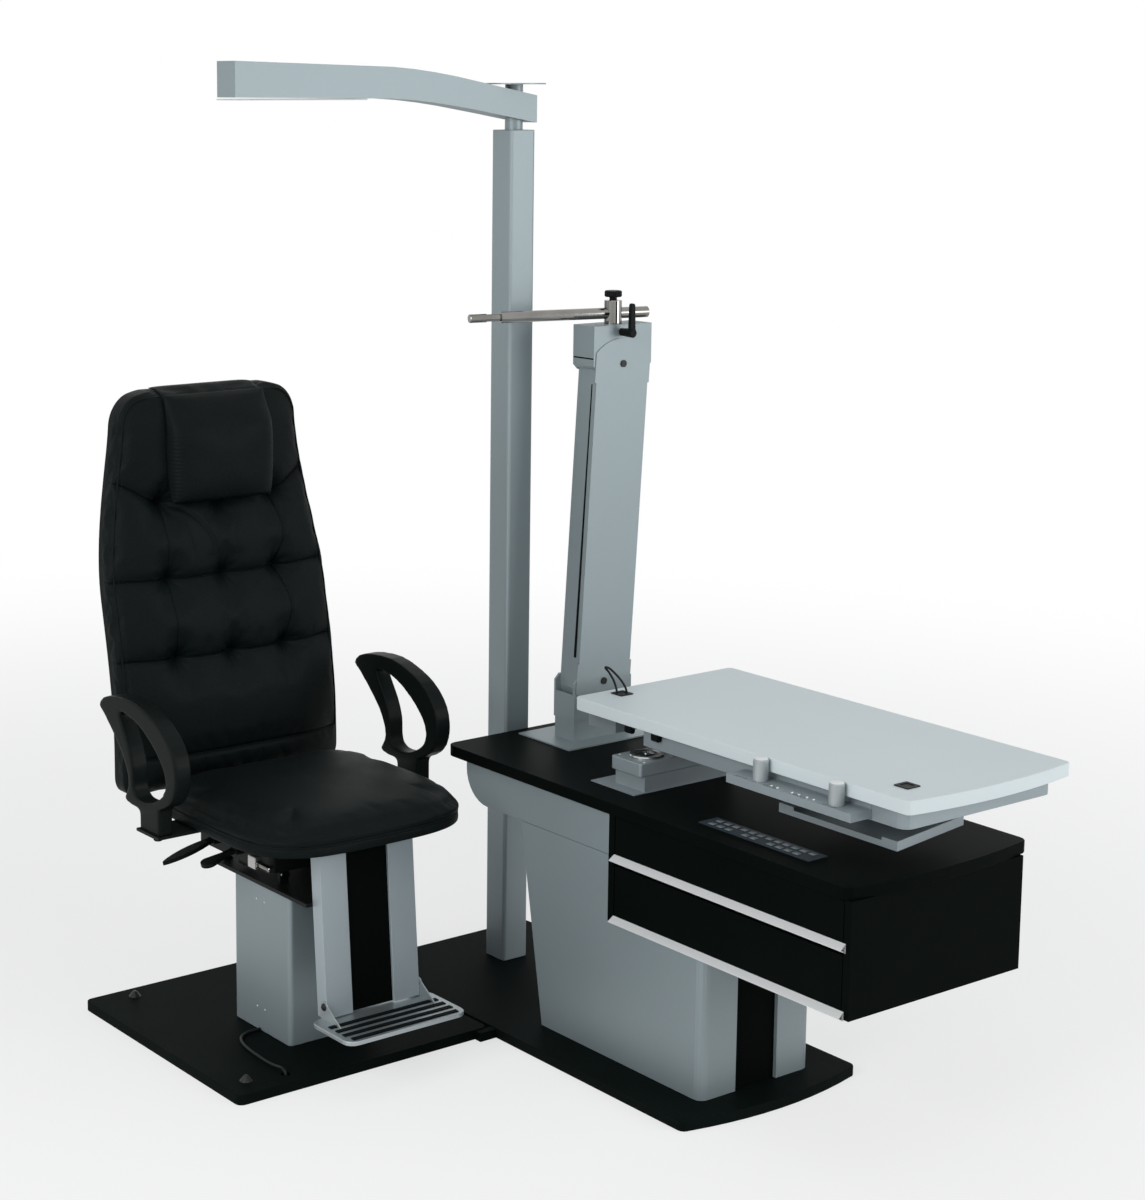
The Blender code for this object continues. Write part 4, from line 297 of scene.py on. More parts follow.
surround = bpy.data.worlds.new("studio")
scene.world = surround
sky = Nodes(surround)
ray = sky.node("ShaderNodeLightPath", {}, {})
mirrored = ray.maths("MAXIMUM", ray.other("Is Glossy Ray"), ray.other("Is Transmission Ray"))
ambient = sky.tree.nodes["Background"]
for title, value in (("Color", (0.93, 0.97, 1)), ("Strength", AMBIENT)):
    sky.plug(ambient.inputs[title], value)
backdrop = sky.node("ShaderNodeBackground", {}, {"Color": WHITE})
blend = sky.node("ShaderNodeMixShader", {}, {0: ray.maths("MAXIMUM", ray, mirrored),
                                             1: Value(sky, ambient.outputs[0]), 2: backdrop})
sky.plug(sky.tree.nodes["World Output"].inputs["Surface"], blend)

# Seen straight on, the paper turns to plain white away from the unit, so that the
# shadow stays and no horizon shows.
paper = Finish("studio_paper", base_color=(0.9, 0.9, 0.9), roughness=0.9,
               specular_ior_level=0.0)
glow = paper.node("ShaderNodeEmission", {}, {"Color": WHITE, "Strength": 1.0})
ray = paper.node("ShaderNodeLightPath", {}, {})
distance = paper.node("ShaderNodeVectorMath", {"operation": "LENGTH"}, {0: paper.place}, 1)
seen_share = ray * distance.ramp(SHADOW_REACH, WHITE_FROM, 0.66, 1) + ray.other("Is Glossy Ray") * 0.6
blend = paper.node("ShaderNodeMixShader", {},
                   {0: seen_share, 1: Value(paper, paper.shader.outputs[0]), 2: glow})
paper.plug(paper.tree.nodes["Material Output"].inputs["Surface"], blend)
bm = bmesh.new()
bmesh.ops.create_grid(bm, x_segments=1, y_segments=1, size=ROOM)
floor = placed("studio_floor", kept(bm, "studio_floor"))
floor.location.z = -FLOOR_SINK
floor.data.materials.append(paper.material)


def soft_light(name, place, target, size, power):
    """A square soft box that faces its target."""
    thing = placed(name, put(bpy.data.lights.new(name, "AREA"), size=size, energy=power))
    thing.location = place
    aim = Vector(target) - Vector(place)
    thing.rotation_euler = aim.to_track_quat("-Z", "Y").to_euler()


soft_light("left_light", (-4.2, -1.6, 2.7), (0.2, -0.3, 0.9), 2.4, 118)
soft_light("right_light", (3.2, -4.8, 1.9), (0.4, -0.3, 0.7), 2.2, 104)
soft_light("top_light", (0.2, -0.6, 4.4), (0.2, -0.4, 0), 2.6, 12)

# The two floor plates. Thick steel with a coarse anthracite texture coat, worn a
# little paler where shoes and castors pass. Each plate is one solid.
ANTHRACITE = (0.0035, 0.0060, 0.0055)
floor_steel = Finish("textured_steel", specular_ior_level=0.015)
pebble = floor_steel.grain(620, 3)
traffic = floor_steel.grain(7, 4).ramp(0.42, 0.78)
wear = traffic * 0.35 + pebble * 0.25
floor_steel.set(base_color=floor_steel.mix(wear, ANTHRACITE, (0.0060, 0.0098, 0.0090)))
floor_steel.mottle(pebble, 0.22, 0.46, depth=0.0005)
floor_steel.on("chair_base_plate", "console_base_plate")
zinc = Finish("zinc_plate", metallic=1.0)
zinc.mottle(zinc.grain(260, 3), 0.2, 0.24, (0.42, 0.42, 0.41), (0.60, 0.60, 0.59))
black_zinc = Finish("black_oxide", metallic=0.6)
black_zinc.mottle(black_zinc.grain(500, 3), 0.2, 0.30, (0.008, 0.009, 0.009),
                  (0.018, 0.020, 0.020))
black_zinc.on("levelling_screw_1", "levelling_screw_2")

# The chair's column. A square housing of folded steel in a satin silver powder
# coat, with pairs of small blind rivets down its left face.
SILVER = (0.268, 0.320, 0.338)


def powder_coat(name, colour, metal=0.35, rough=0.40, texture=0.00012):
    """A fine satin powder coat with a trace of metal flake."""
    coat = Finish(name, metallic=metal)
    flake = coat.grain(2600, 1)
    peel = coat.grain(640, 2)
    cloud = coat.grain(4, 3)
    dull = tuple(part * 0.86 for part in colour)
    light = tuple(part * 1.12 for part in colour)
    coat.set(base_color=coat.mix(flake.ramp(0.42, 0.66) * 0.6 + cloud * 0.4, dull, light),
             roughness=peel * 0.10 + rough + cloud * 0.05)
    coat.bump(peel, texture)
    return coat


silver_coat = powder_coat("silver_powder_coat", SILVER)
silver_coat.on("chair_column_housing", "lift_inner_column")
RIVET = {"Radius": 0.0022, "Height": 0.0009}
RIVET_ACROSS = (-0.012, 0.019)
RIVET_HEIGHTS = (0.074, 0.317)


def geometry(name, finish, sizes, build):
    """A node tree that turns a mesh of places into solid repeats in one finish."""
    tree = bpy.data.node_groups.new(name, "GeometryNodeTree")
    face = tree.interface
    face.new_socket("Geometry", in_out="INPUT", socket_type="NodeSocketGeometry")
    for title in sizes:
        face.new_socket(title, in_out="INPUT", socket_type="NodeSocketFloat")
    face.new_socket("Geometry", in_out="OUTPUT", socket_type="NodeSocketGeometry")
    entry = tree.nodes.new("NodeGroupInput")
    leave = tree.nodes.new("NodeGroupOutput")

    def add(kind, settings, values):
        made = put(tree.nodes.new(kind), **settings)
        for title, value in values.items():
            if isinstance(value, bpy.types.NodeSocket):
                tree.links.new(value, made.inputs[title])
            else:
                made.inputs[title].default_value = value
        return made.outputs[0]

    shape = build(add, entry.outputs)
    solid = add("GeometryNodeRealizeInstances", {}, {"Geometry": shape})
    smooth = add("GeometryNodeSetShadeSmooth", {}, {"Geometry": solid})
    coloured = add("GeometryNodeSetMaterial", {}, {"Geometry": smooth,
                                                   "Material": finish.material})
    tree.links.new(coloured, leave.inputs[0])
    return tree


def settled(thing):
    """Turn an object with modifiers into the plain mesh that they make of it."""
    graph = bpy.context.evaluated_depsgraph_get()
    mesh = bpy.data.meshes.new_from_object(thing.evaluated_get(graph), depsgraph=graph)
    bpy.data.objects.remove(thing)
    return mesh


def grown(name, points, tree, sizes, body, slot, facing=None, edges=()):
    """Run a node tree on places and keep the result as a plain mesh."""
    mesh = bpy.data.meshes.new(name)
    mesh.from_pydata([tuple(point) for point in points], edges, [])
    if facing:
        side = mesh.attributes.new("facing", "FLOAT_VECTOR", "POINT")
        for index, place in enumerate(side.data):
            place.vector = facing[index % len(facing)]
    thing = placed(name, mesh)
    modifier = thing.modifiers.new("growth", "NODES")
    modifier.node_group = tree
    for item in tree.interface.items_tree:
        if item.in_out == "INPUT" and item.name in sizes:
            modifier[item.identifier] = sizes[item.name]
    return piece(name, settled(thing), None, body, slot)


def dotted(add, places, facing, segments, rings, radius, height):
    """Round dots on the places, stretched and turned along their facing."""
    ball = add("GeometryNodeMeshUVSphere", {}, {"Segments": segments, "Rings": rings,
                                                "Radius": 1.0})
    scale = add("ShaderNodeCombineXYZ", {}, {"X": radius, "Y": radius, "Z": height})
    sized = add("GeometryNodeTransform", {}, {"Geometry": ball, "Scale": scale})
    turn = add("FunctionNodeAlignRotationToVector", {"axis": "Z"}, {"Vector": facing})
    return add("GeometryNodeInstanceOnPoints", {}, {"Points": places, "Instance": sized,
                                                    "Rotation": turn})


def heads(add, entry):
    """Domed heads of rivets and screws, standing out along their facing."""
    side = add("GeometryNodeInputNamedAttribute", {"data_type": "FLOAT_VECTOR"},
               {"Name": "facing"})
    return dotted(add, entry["Geometry"], side, 16, 8, entry["Radius"], entry["Height"])


bare_rivet = Finish("bare_rivet", metallic=0.3)
bare_rivet.mottle(bare_rivet.grain(900, 2), 0.2, 0.2, (0.66, 0.68, 0.69), (0.80, 0.81, 0.82))
rivet_heads = geometry("rivet_heads", bare_rivet, ("Radius", "Height"), heads)
zinc_heads = geometry("zinc_heads", zinc, ("Radius", "Height"), heads)
black_heads = geometry("black_heads", black_zinc, ("Radius", "Height"), heads)
column_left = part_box("chair_column_housing")[0].x
rivets = [(column_left, y, z) for y in RIVET_ACROSS for z in RIVET_HEIGHTS]
grown("column_rivets", rivets, rivet_heads, RIVET, "console", "chair_column_housing",
      [(-1, 0, 0)])

# The lift and the seat's guide. A plate welded on the inner column carries two
# chromed rods, on which the seat's frame slides to and fro.
chrome = Finish("nickel_chrome", metallic=1.0)
chrome.mottle(chrome.grain(26, 5, chrome.stretched((0.5, 1, 1))), 0.10, 0.03,
              (0.15, 0.145, 0.13), (0.34, 0.335, 0.32))
black_satin = powder_coat("black_powder_coat", (0.0045, 0.006, 0.006), 0.0, 0.42)
black_satin.set(specular_ior_level=0.14)
chrome.on("guide_rod_left", "guide_rod_right")
black_satin.on("guide_plate", "seat_frame", "back_bracket")
RAIL_SIDE = -0.1427
RAIL_SCREW = {"Radius": 0.0046, "Height": 0.0022}
RAIL_SCREWS = ((-0.028, 0.444), (-0.075, 0.452), (0.06, 0.452))
grown("rail_screws", [(RAIL_SIDE, y, z) for y, z in RAIL_SCREWS], zinc_heads, RAIL_SCREW, "seat",
      "seat_frame", [(-1, 0, 0)])

# The footrest. Two aluminium channels hold a black ribbed panel and end in a
# folding plate, which has four rubber treads and a bolt in each ear.
brushed = Finish("brushed_aluminium", metallic=0.85)
strokes = brushed.grain(60, 4, brushed.stretched((1.5, 40, 40)))
sparkle = brushed.grain(1500, 1)
brushed.set(base_color=brushed.mix(strokes, (0.34, 0.385, 0.40), (0.45, 0.49, 0.505)),
            roughness=strokes * 0.16 + 0.32 + sparkle * 0.06)
brushed.bump(strokes, 0.00008)
anodised = powder_coat("anodised_channel", (0.375, 0.435, 0.462), 0.30, 0.36, 0.00006)
anodised.on("footrest_channels")
brushed.on("foot_plate")
rubber = Finish("black_rubber", base_color=(0.004, 0.006, 0.006), specular_ior_level=0.06)
rubber.mottle(rubber.grain(800, 3), 0.2, 0.62, depth=0.0002)
TREAD_LONG = 0.138
TREAD_SHORT = 0.134
TREAD_WIDE = 0.0128
TREAD_ROWS = (-0.3010, -0.3262, -0.3514, -0.3766)
TREAD_FOOT = 0.1340
TREAD_TOP = 0.1360


def blocks(name, corners, finish, body, node, round_by):
    """Bevelled blocks, each between two corners, in one mesh."""
    bm = bmesh.new()
    for low, high in corners:
        low, high = Vector(low), Vector(high)
        for vertex in bmesh.ops.create_cube(bm, size=1)["verts"]:
            vertex.co = (low + high) / 2 + Vector(
                part * size for part, size in zip(vertex.co, high - low))
    bmesh.ops.bevel(bm, geom=bm.edges, offset=round_by, segments=2, affect="EDGES",
                    clamp_overlap=True)
    bmesh.ops.recalc_face_normals(bm, faces=bm.faces)
    return piece(name, kept(bm, name), finish, body, node, smooth=False)


tread_corners = []
for row in TREAD_ROWS:
    half = TREAD_SHORT if row == TREAD_ROWS[-1] else TREAD_LONG
    tread_corners.append(((-half, row - TREAD_WIDE / 2, TREAD_FOOT),
                          (half, row + TREAD_WIDE / 2, TREAD_TOP)))
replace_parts(blocks("rubber_treads", tread_corners, rubber, "foot_plate", "foot_plate_treads",
                   0.0006), "foot_plate_treads")
felt = Finish("footrest_panel_film", specular_ior_level=0.02)
felt.mottle(felt.grain(90, 4, felt.stretched((12, 12, 0.5))), 0.2, 0.55,
            (0.0012, 0.0024, 0.0018), (0.0030, 0.0045, 0.0040), 0.0001)
felt.on("footrest_panel", "pedestal_front_panel")
EAR = Vector((0.1224, -0.257, 0.162))
EAR_BOLT = {"Radius": 0.0085, "Height": 0.0042}
ears = [(-EAR.x, EAR.y, EAR.z), EAR]
grown("foot_plate_bolts", ears, black_heads, EAR_BOLT, "foot_plate", "foot_plate",
      [(-1, 0, 0), (1, 0, 0)])

# The upholstery. Black full-grain leather over moulded foam. Each cover starts as
# a dense shell in its solid's form, is blown up by cloth simulation between its
# pinned tufts, and then gets its seams, creases and piping.
def hide(name):
    """Black full-grain leather: fine folds between pores, with a worn sheen."""
    skin = Finish(name, specular_ior_level=0.065)
    warp = skin.node("ShaderNodeVectorMath", {"operation": "MULTIPLY_ADD"},
                     {0: skin.grain(240).other("Color"), 1: (0.0035, 0.0035, 0.0035),
                      2: skin.place})
    pores = skin.node("ShaderNodeTexVoronoi", {}, {"Vector": warp, "Scale": 620.0})
    folds = skin.node("ShaderNodeTexVoronoi", {"feature": "DISTANCE_TO_EDGE"},
                      {"Vector": warp, "Scale": 235.0}).ramp(0.0, 0.16)
    handled = skin.grain(9, 3)
    skin.colour = skin.mix(folds * 0.5 + handled * 0.5, (0.0020, 0.0040, 0.0038),
                           (0.0042, 0.0070, 0.0068))
    skin.set(base_color=skin.colour, roughness=handled * 0.14 + 0.36 + pores * 0.12)
    skin.bump(folds * 0.6 - pores * 0.4, 0.00032, 0.8)
    return skin


leather = hide("black_leather")
seam_thread = Finish("black_thread", specular_ior_level=0.2)
seam_thread.mottle(seam_thread.grain(1800, 2), 0.2, 0.42, (0.003, 0.004, 0.004),
                   (0.009, 0.011, 0.011))


def shell(name, across, deep, tall, place):
    """A closed block of small quads, each point put in place by the cushion's rule."""
    bm = bmesh.new()
    made = {}

    def corner(i, j, k):
        if (i, j, k) not in made:
            made[i, j, k] = bm.verts.new(
                place(2 * i / across - 1, 2 * j / deep - 1, 2 * k / tall - 1))
        return made[i, j, k]

    counts = (across, deep, tall)
    for one, two, still in ((0, 2, 1), (0, 1, 2), (1, 2, 0)):
        for a, b, side in product(range(counts[one]), range(counts[two]), (0, counts[still])):
            ring = [{one: a + i, two: b + j, still: side}
                    for i, j in ((0, 0), (1, 0), (1, 1), (0, 1))]
            bm.faces.new([corner(key[0], key[1], key[2]) for key in ring])
    bmesh.ops.recalc_face_normals(bm, faces=bm.faces)
    return kept(bm, name)


def smooth_step(share):
    """Ease a share in and out between 0 and 1."""
    share = min(max(share, 0.0), 1.0)
    return share * share * (3 - 2 * share)


def modified(thing, kind, **settings):
    """Add a modifier with its settings."""
    return put(thing.modifiers.new(kind.lower(), kind), **settings)


def hump(away, width):
    """A smooth hump: 1 in the middle, fading over its width."""
    return math.exp(-(away / width) ** 2)


FRAMES = 20


def blown(name, mesh, cap, held, pressure, growth=0.0):
    """Blow the cover up by cloth simulation, with held points pinned, and cap its swell."""
    thing = placed(name, mesh)
    start = [vertex.co.copy() for vertex in mesh.vertices]
    group = thing.vertex_groups.new(name="held")
    for index, point in enumerate(start):
        weight = held(point)
        if weight > 0.01:
            group.add([index], weight, "REPLACE")
    cloth = modified(thing, "CLOTH")
    rules = put(cloth.settings, quality=4, mass=0.4, tension_stiffness=18,
                compression_stiffness=18, shear_stiffness=6, bending_stiffness=0.8,
                use_pressure=True, uniform_pressure_force=pressure, shrink_min=-growth,
                vertex_group_mass="held")
    rules.effector_weights.gravity = 0
    cloth.collision_settings.use_collision = False
    for step in range(1, FRAMES + 1):
        scene.frame_set(step)
    full = thing.evaluated_get(bpy.context.evaluated_depsgraph_get())
    ends = [vertex.co.copy() for vertex in full.to_mesh().vertices]
    full.to_mesh_clear()
    thing.modifiers.clear()
    for vertex, first, last in zip(mesh.vertices, start, ends):
        swell = last - first
        if swell.length > cap:
            swell *= cap / swell.length
        vertex.co = first + swell
    scene.frame_set(1)
    thing.vertex_groups.clear()
    modified(thing, "SUBSURF", levels=1, render_levels=1)
    fine = settled(thing)
    fine.name = name
    return fine


def cover(name, mesh, body, node, skin=leather):
    """Show a finished cover in place of its solid."""
    thing = piece(name, mesh, skin, body, node)
    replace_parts(thing, node)
    return thing


# The seat. A broad crowned cushion with rounded front corners and a low rear
# rise. A welt runs round it a finger's width above its board.
SEAT_HALF = 0.275
SEAT_FRONT = -0.310
SEAT_BACK = 0.222
SEAT_BOTTOM = 0.5002
SEAT_EDGE = 0.034
SEAT_CROWN = 0.044
SEAT_FRONT_POWER = 3.7
SEAT_REAR_POWER = 5.5
SEAT_WELT = 0.522
SEAT_GROOVE = 0.0028
SEAT_SAG = 0.006
SAG_WIDE = 0.17


def seat_point(u, v, w):
    """A point of the seat: u across, v to the back, w upwards, on rounded outlines."""
    power = SEAT_FRONT_POWER if v < 0 else SEAT_REAR_POWER
    reach = max(abs(u), abs(v))
    even_out = reach / ((abs(u) ** power + abs(v) ** power) ** (1 / power) or 1)
    middle = (SEAT_FRONT + SEAT_BACK) / 2
    x = SEAT_HALF * u * even_out
    y = middle + (SEAT_BACK - SEAT_FRONT) / 2 * v * even_out
    if w > 0:
        dome = math.sqrt(max(0.0, 1 - reach ** 3.4))
        z = SEAT_BOTTOM + SEAT_EDGE + SEAT_CROWN * (0.30 + 0.66 * dome) * w
    else:
        z = SEAT_BOTTOM + SEAT_EDGE * (1 + w)
    edge = reach ** 8
    tuck = 0.002 + 0.005 * edge * (1 - (1 - abs(w)) ** 2) + 0.012 * edge * max(w, 0) ** 2
    scale = 1 - tuck / SEAT_HALF
    return Vector((x * scale, middle + (y - middle) * scale, z))


def seat_held(point):
    """The board under the cushion holds the lowest rows."""
    return 1.0 - smooth_step((point.z - SEAT_BOTTOM - 0.004) / 0.016)


seat_mesh = blown("seat_leather", shell("seat_shell", 76, 74, 8, seat_point), 0.006, seat_held,
                  3.0)
for vertex in seat_mesh.vertices:
    point = vertex.co
    below = hump(point.z - SEAT_WELT, 0.0035)
    middle = Vector((0, (SEAT_FRONT + SEAT_BACK) / 2, point.z))
    outward = (point - middle).normalized()
    rim = smooth_step((point - middle).length / 0.26 - 0.35)
    ripple = noise.noise(Vector((point.x * 9, point.y * 9, 1.3)))
    vertex.co -= outward * SEAT_GROOVE * below * rim
    if point.z > SEAT_WELT + 0.02:
        sag = hump(math.hypot(point.x, point.y + 0.02), SAG_WIDE)
        vertex.co.z += 0.0022 * ripple - SEAT_SAG * sag
    vertex.co.z = max(vertex.co.z, SEAT_BOTTOM)
seat = cover("seat_leather", seat_mesh, "seat", "seat_cushion")

# The backrest. A tall tapering cushion drawn in by nine buttons, in three rows
# joined by sewn seams, with a rolled foot and loose leather between the tufts.
BACK_BOTTOM = 0.506
BACK_TOP = 1.385
BACK_DEPTH = 0.078
BACK_HALF = 0.285
BACK_ROUND = 0.075
BACK_CROWN = 0.026
TUFT_X = 0.139
TUFTS = (-TUFT_X, 0, TUFT_X)
TUFT_ROWS = (0.800, 0.972, 1.140)
TUFT_PULL = 0.026
FOOT_SEAM = 0.588
ROW_DRAW = 0.0045
FOOT_DRAW = 0.0055
BUTTON_DRAW = 0.007
PLEAT = 0.0014
PLEATS = 9


def back_middle(z):
    """The middle plane of the backrest, which leans back as it rises."""
    return 0.305 + 0.093 * smooth_step((z - 0.600) / 0.650)


def back_half(z):
    """Half the width of the backrest, with its taper and its round corners."""
    half = BACK_HALF - 0.052 * smooth_step((z - 0.930) / 0.430)
    above = (z - (BACK_TOP - BACK_ROUND)) / BACK_ROUND
    if above > 0:
        half -= BACK_ROUND * (1 - math.sqrt(max(0.0, 1 - min(above, 1) ** 2)))
    below = (BACK_BOTTOM + BACK_ROUND / 2 - z) / (BACK_ROUND / 2)
    if below > 0:
        half -= BACK_ROUND / 3 * (1 - math.sqrt(max(0.0, 1 - min(below, 1) ** 2)))
    return half


def row_height(row, x):
    """A row's seam: level, though the top one climbs towards the edges."""
    climb = 0.050 if row == TUFT_ROWS[-1] else 0.004
    return row + climb * smooth_step((abs(x) - TUFT_X) / 0.12)


def back_point(u, v, w):
    """A point of the backrest: u across, v front to rear, w upwards."""
    top_ease = math.sin(w * math.pi / 2) * 0.12 + w * 0.88
    z = (BACK_BOTTOM + BACK_TOP) / 2 + (BACK_TOP - BACK_BOTTOM) / 2 * top_ease
    x = (back_half(z) - 0.003) * u
    rim = max(abs(u) ** 5, abs(top_ease) ** 14)
    depth = (BACK_DEPTH / 2 - 0.002) * (1 - 0.42 * rim)
    y = back_middle(z) + depth * v
    if v < 0:
        dome = (1 - abs(u) ** 3) * (1 - abs(top_ease) ** 8)
        push = (BACK_CROWN - 0.003) * dome
        push += 0.022 * dome * hump(z - BACK_BOTTOM - BACK_ROUND / 2, 0.05)
        for row in TUFT_ROWS:
            for tuft in TUFTS:
                push -= TUFT_PULL * hump(math.hypot(x - tuft, z - row), 0.026)
            push -= 0.009 * hump(z - row_height(row, x), 0.013) * (1 - u ** 6)
        y += push * v
    return Vector((x, y, z))


def back_held(point):
    """Buttons hold nine points, and the board holds the rear."""
    if point.y > back_middle(point.z):
        return 0.9
    near = 0.0
    for row in TUFT_ROWS:
        for tuft in TUFTS:
            away = math.hypot(point.x - tuft, point.z - row)
            near = max(near, 1.0 - smooth_step((away - 0.005) / 0.010))
        sewn = abs(point.z - row_height(row, point.x))
        near = max(near, 0.75 * (1.0 - smooth_step(sewn / 0.008)))
    if point.z < FOOT_SEAM:
        near = max(near, 1.0 - smooth_step(abs(point.z - FOOT_SEAM) / 0.008))
    return near


# Creases of the loose leather, as lines of (x, z) with a depth and a half width.
CREASES = (
    (((-0.132, 1.132), (-0.098, 1.124), (-0.062, 1.098), (-0.034, 1.060), (-0.022, 1.020)),
     0.0040, 0.0045),
    (((-0.128, 1.126), (-0.105, 1.100), (-0.090, 1.060), (-0.083, 1.020)), 0.0018, 0.0050),
    (((0.146, 1.134), (0.176, 1.122), (0.200, 1.119)), 0.0030, 0.0040),
    (((0.146, 1.144), (0.182, 1.141), (0.208, 1.146)), 0.0024, 0.0040),
    (((0.146, 0.968), (0.178, 0.960), (0.202, 0.962)), 0.0022, 0.0040),
    (((0.146, 0.796), (0.176, 0.788), (0.205, 0.790)), 0.0030, 0.0045),
    (((-0.146, 0.966), (-0.176, 0.955), (-0.197, 0.952)), 0.0020, 0.0040),
    (((-0.146, 0.795), (-0.178, 0.786), (-0.200, 0.784)), 0.0020, 0.0040),
    (((-0.010, 0.964), (-0.030, 0.952), (-0.042, 0.934)), 0.0018, 0.0040),
    (((-0.139, 1.130), (-0.146, 1.060), (-0.141, 0.985)), 0.0022, 0.0030),
    (((-0.139, 0.960), (-0.146, 0.885), (-0.141, 0.812)), 0.0022, 0.0030),
    (((0.139, 1.130), (0.157, 1.080), (0.157, 1.030), (0.141, 0.985)), 0.0040, 0.0030),
    (((0.139, 0.960), (0.158, 0.905), (0.157, 0.860), (0.141, 0.812)), 0.0040, 0.0030),
)
crease_tracks = [([step[:2] for step in curved([(x, z, 0) for x, z in points], 8)], depth, width)
                 for points, depth, width in CREASES]


def crease_depth(x, z):
    """How far the leather is drawn in at a place by every crease near it."""
    total = 0.0
    for track, depth, width in crease_tracks:
        reach = 3 * width
        best = reach
        for a, b in zip(track, track[1:]):
            if min(a[0], b[0]) - reach > x or max(a[0], b[0]) + reach < x:
                continue
            if min(a[1], b[1]) - reach > z or max(a[1], b[1]) + reach < z:
                continue
            span_x, span_z = b[0] - a[0], b[1] - a[1]
            share = ((x - a[0]) * span_x + (z - a[1]) * span_z) / (span_x ** 2 + span_z ** 2)
            share = min(max(share, 0), 1)
            best = min(best, math.hypot(x - a[0] - share * span_x, z - a[1] - share * span_z))
        if best < reach:
            ends = min(math.hypot(x - track[0][0], z - track[0][1]),
                       math.hypot(x - track[-1][0], z - track[-1][1]))
            total += depth * hump(best, width) * min(1.0, 0.35 + ends / 0.03)
    return total


back_mesh = blown("back_leather", shell("back_shell", 76, 10, 118, back_point), 0.011, back_held,
                  4.5, 0.012)
for vertex in back_mesh.vertices:
    point = vertex.co
    if point.y > back_middle(point.z):
        continue
    half = back_half(point.z)
    inner = 1.0 - smooth_step((abs(point.x) - half + 0.030) / 0.014)
    draw = crease_depth(point.x, point.z)
    for row in TUFT_ROWS:
        height = row_height(row, point.x)
        draw += ROW_DRAW * hump(point.z - height, 0.0032) * inner
        for tuft in TUFTS:
            x, z = point.x - tuft, point.z - row
            away = math.hypot(x, z)
            if away < 0.075:
                spokes = math.cos(PLEATS * math.atan2(z, x) + 3 * tuft + 20 * row)
                draw += PLEAT * spokes * hump(away - 0.016, 0.020)
                draw += BUTTON_DRAW * hump(away, 0.009)
    draw += FOOT_DRAW * hump(point.z - FOOT_SEAM, 0.0040) * inner
    draw += 0.0012 * noise.noise(Vector((point.x * 14, point.z * 14, 4.1))) * inner
    vertex.co.y += draw
back_hide = hide("sewn_back_leather")
x_place, y_place, z_place = (back_hide.node("ShaderNodeSeparateXYZ", {}, {0: back_hide.place}, axis)
                             for axis in "XYZ")
off_axis = abs(x_place)
bow = back_hide.node("ShaderNodeMath", {"operation": "SINE"},
                     {0: (z_place - TUFT_ROWS[0]) * (math.pi / 0.171)})
upright = off_axis - TUFT_X - abs(bow) * x_place.ramp(-0.01, 0.01, 0.004, 0.016)
between = z_place.ramp(0.796, 0.802) * z_place.ramp(1.138, 1.144, 1, 0)
seam_groove_and_shade = abs(upright).ramp(0.0005, 0.0026, 1, 0) * between * x_place.ramp(-0.01, 0.01, 0.6, 1)
climbing = off_axis.ramp(TUFT_X, TUFT_X + 0.12, 0, 0.050)
for row in TUFT_ROWS:
    rise = climbing if row == TUFT_ROWS[-1] else climbing * 0.08
    level_seam = abs(z_place - row - rise).ramp(0.0005, 0.0026, 1, 0)
    seam_groove_and_shade = seam_groove_and_shade.maths("MAXIMUM", seam_groove_and_shade, level_seam)
fore = (y_place - z_place.ramp(0.600, 1.250, 0.305, 0.398)).ramp(-0.012, -0.004, 1, 0)
seam_groove_and_shade = seam_groove_and_shade * fore
# The seam mask darkens the colour along the seams, which is painted shade in their grooves, and sinks
# them by bump.
back_hide.set(base_color=back_hide.mix(seam_groove_and_shade * 0.85, back_hide.colour, (0.0004, 0.0006, 0.0006)))
back_hide.bump(seam_groove_and_shade * -1, 0.0016)
back_rest = cover("back_leather", back_mesh, "backrest", "back_cushion", back_hide)

# The headrest pillow. A square bolster that bulges over the top of the backrest,
# gathered down its sides. A wide strap of leather carries it over the top edge.
PILLOW_HALF = 0.138
PILLOW_LOW = 1.138
PILLOW_HIGH = 1.3756
PILLOW_THICK = 0.050
GATHER = 0.0013
GATHER_PITCH = 0.0085


def pillow_rear(z):
    """The pillow's rear lies on the backrest and follows it where it rounds off."""
    fall = 0.020 * smooth_step((z - 1.30) / 0.08)
    return back_middle(z) - BACK_DEPTH / 2 - BACK_CROWN + fall


def pillow_point(u, v, w):
    """A point of the pillow: u across, v front to rear, w upwards."""
    z = (PILLOW_LOW + PILLOW_HIGH) / 2 + (PILLOW_HIGH - PILLOW_LOW) / 2 * w
    x = (PILLOW_HALF - 0.003) * u * (1 - 0.05 * w * w)
    dome = (1 - abs(u) ** 4) * (1 - abs(w) ** 4)
    thick = PILLOW_THICK * (0.10 + 0.84 * max(dome, 0) ** 0.45)
    thick *= 1 - 0.42 * smooth_step((w - 0.1) / 0.9)
    return Vector((x, pillow_rear(z) - thick * (1 - v) / 2 - 0.001, z))


def pillow_held(point):
    """Its rear is sewn flat."""
    return 1.0 if point.y > pillow_rear(point.z) - 0.006 else 0.0


pillow_mesh = blown("pillow_leather", shell("pillow_shell", 50, 8, 46, pillow_point), 0.006,
                    pillow_held, 4.0)
for vertex in pillow_mesh.vertices:
    point = vertex.co
    side = smooth_step((abs(point.x) - PILLOW_HALF + 0.030) / 0.022)
    gather = math.sin(point.z * 2 * math.pi / GATHER_PITCH) * smooth_step((1.345 - point.z) / 0.12)
    vertex.co.y += GATHER * gather * side
    vertex.co.y += 0.0010 * noise.noise(Vector((point.x * 16, point.z * 16, 8.7)))
    vertex.co.y = min(vertex.co.y, pillow_rear(point.z))
cover("pillow_leather", pillow_mesh, "backrest", "headrest_pillow")


def surface(thing):
    """The skin that a line or strap is laid on, ready to be searched."""
    return BVHTree.FromPolygons([vertex.co.copy() for vertex in thing.data.vertices],
                                [face.vertices[:] for face in thing.data.polygons])


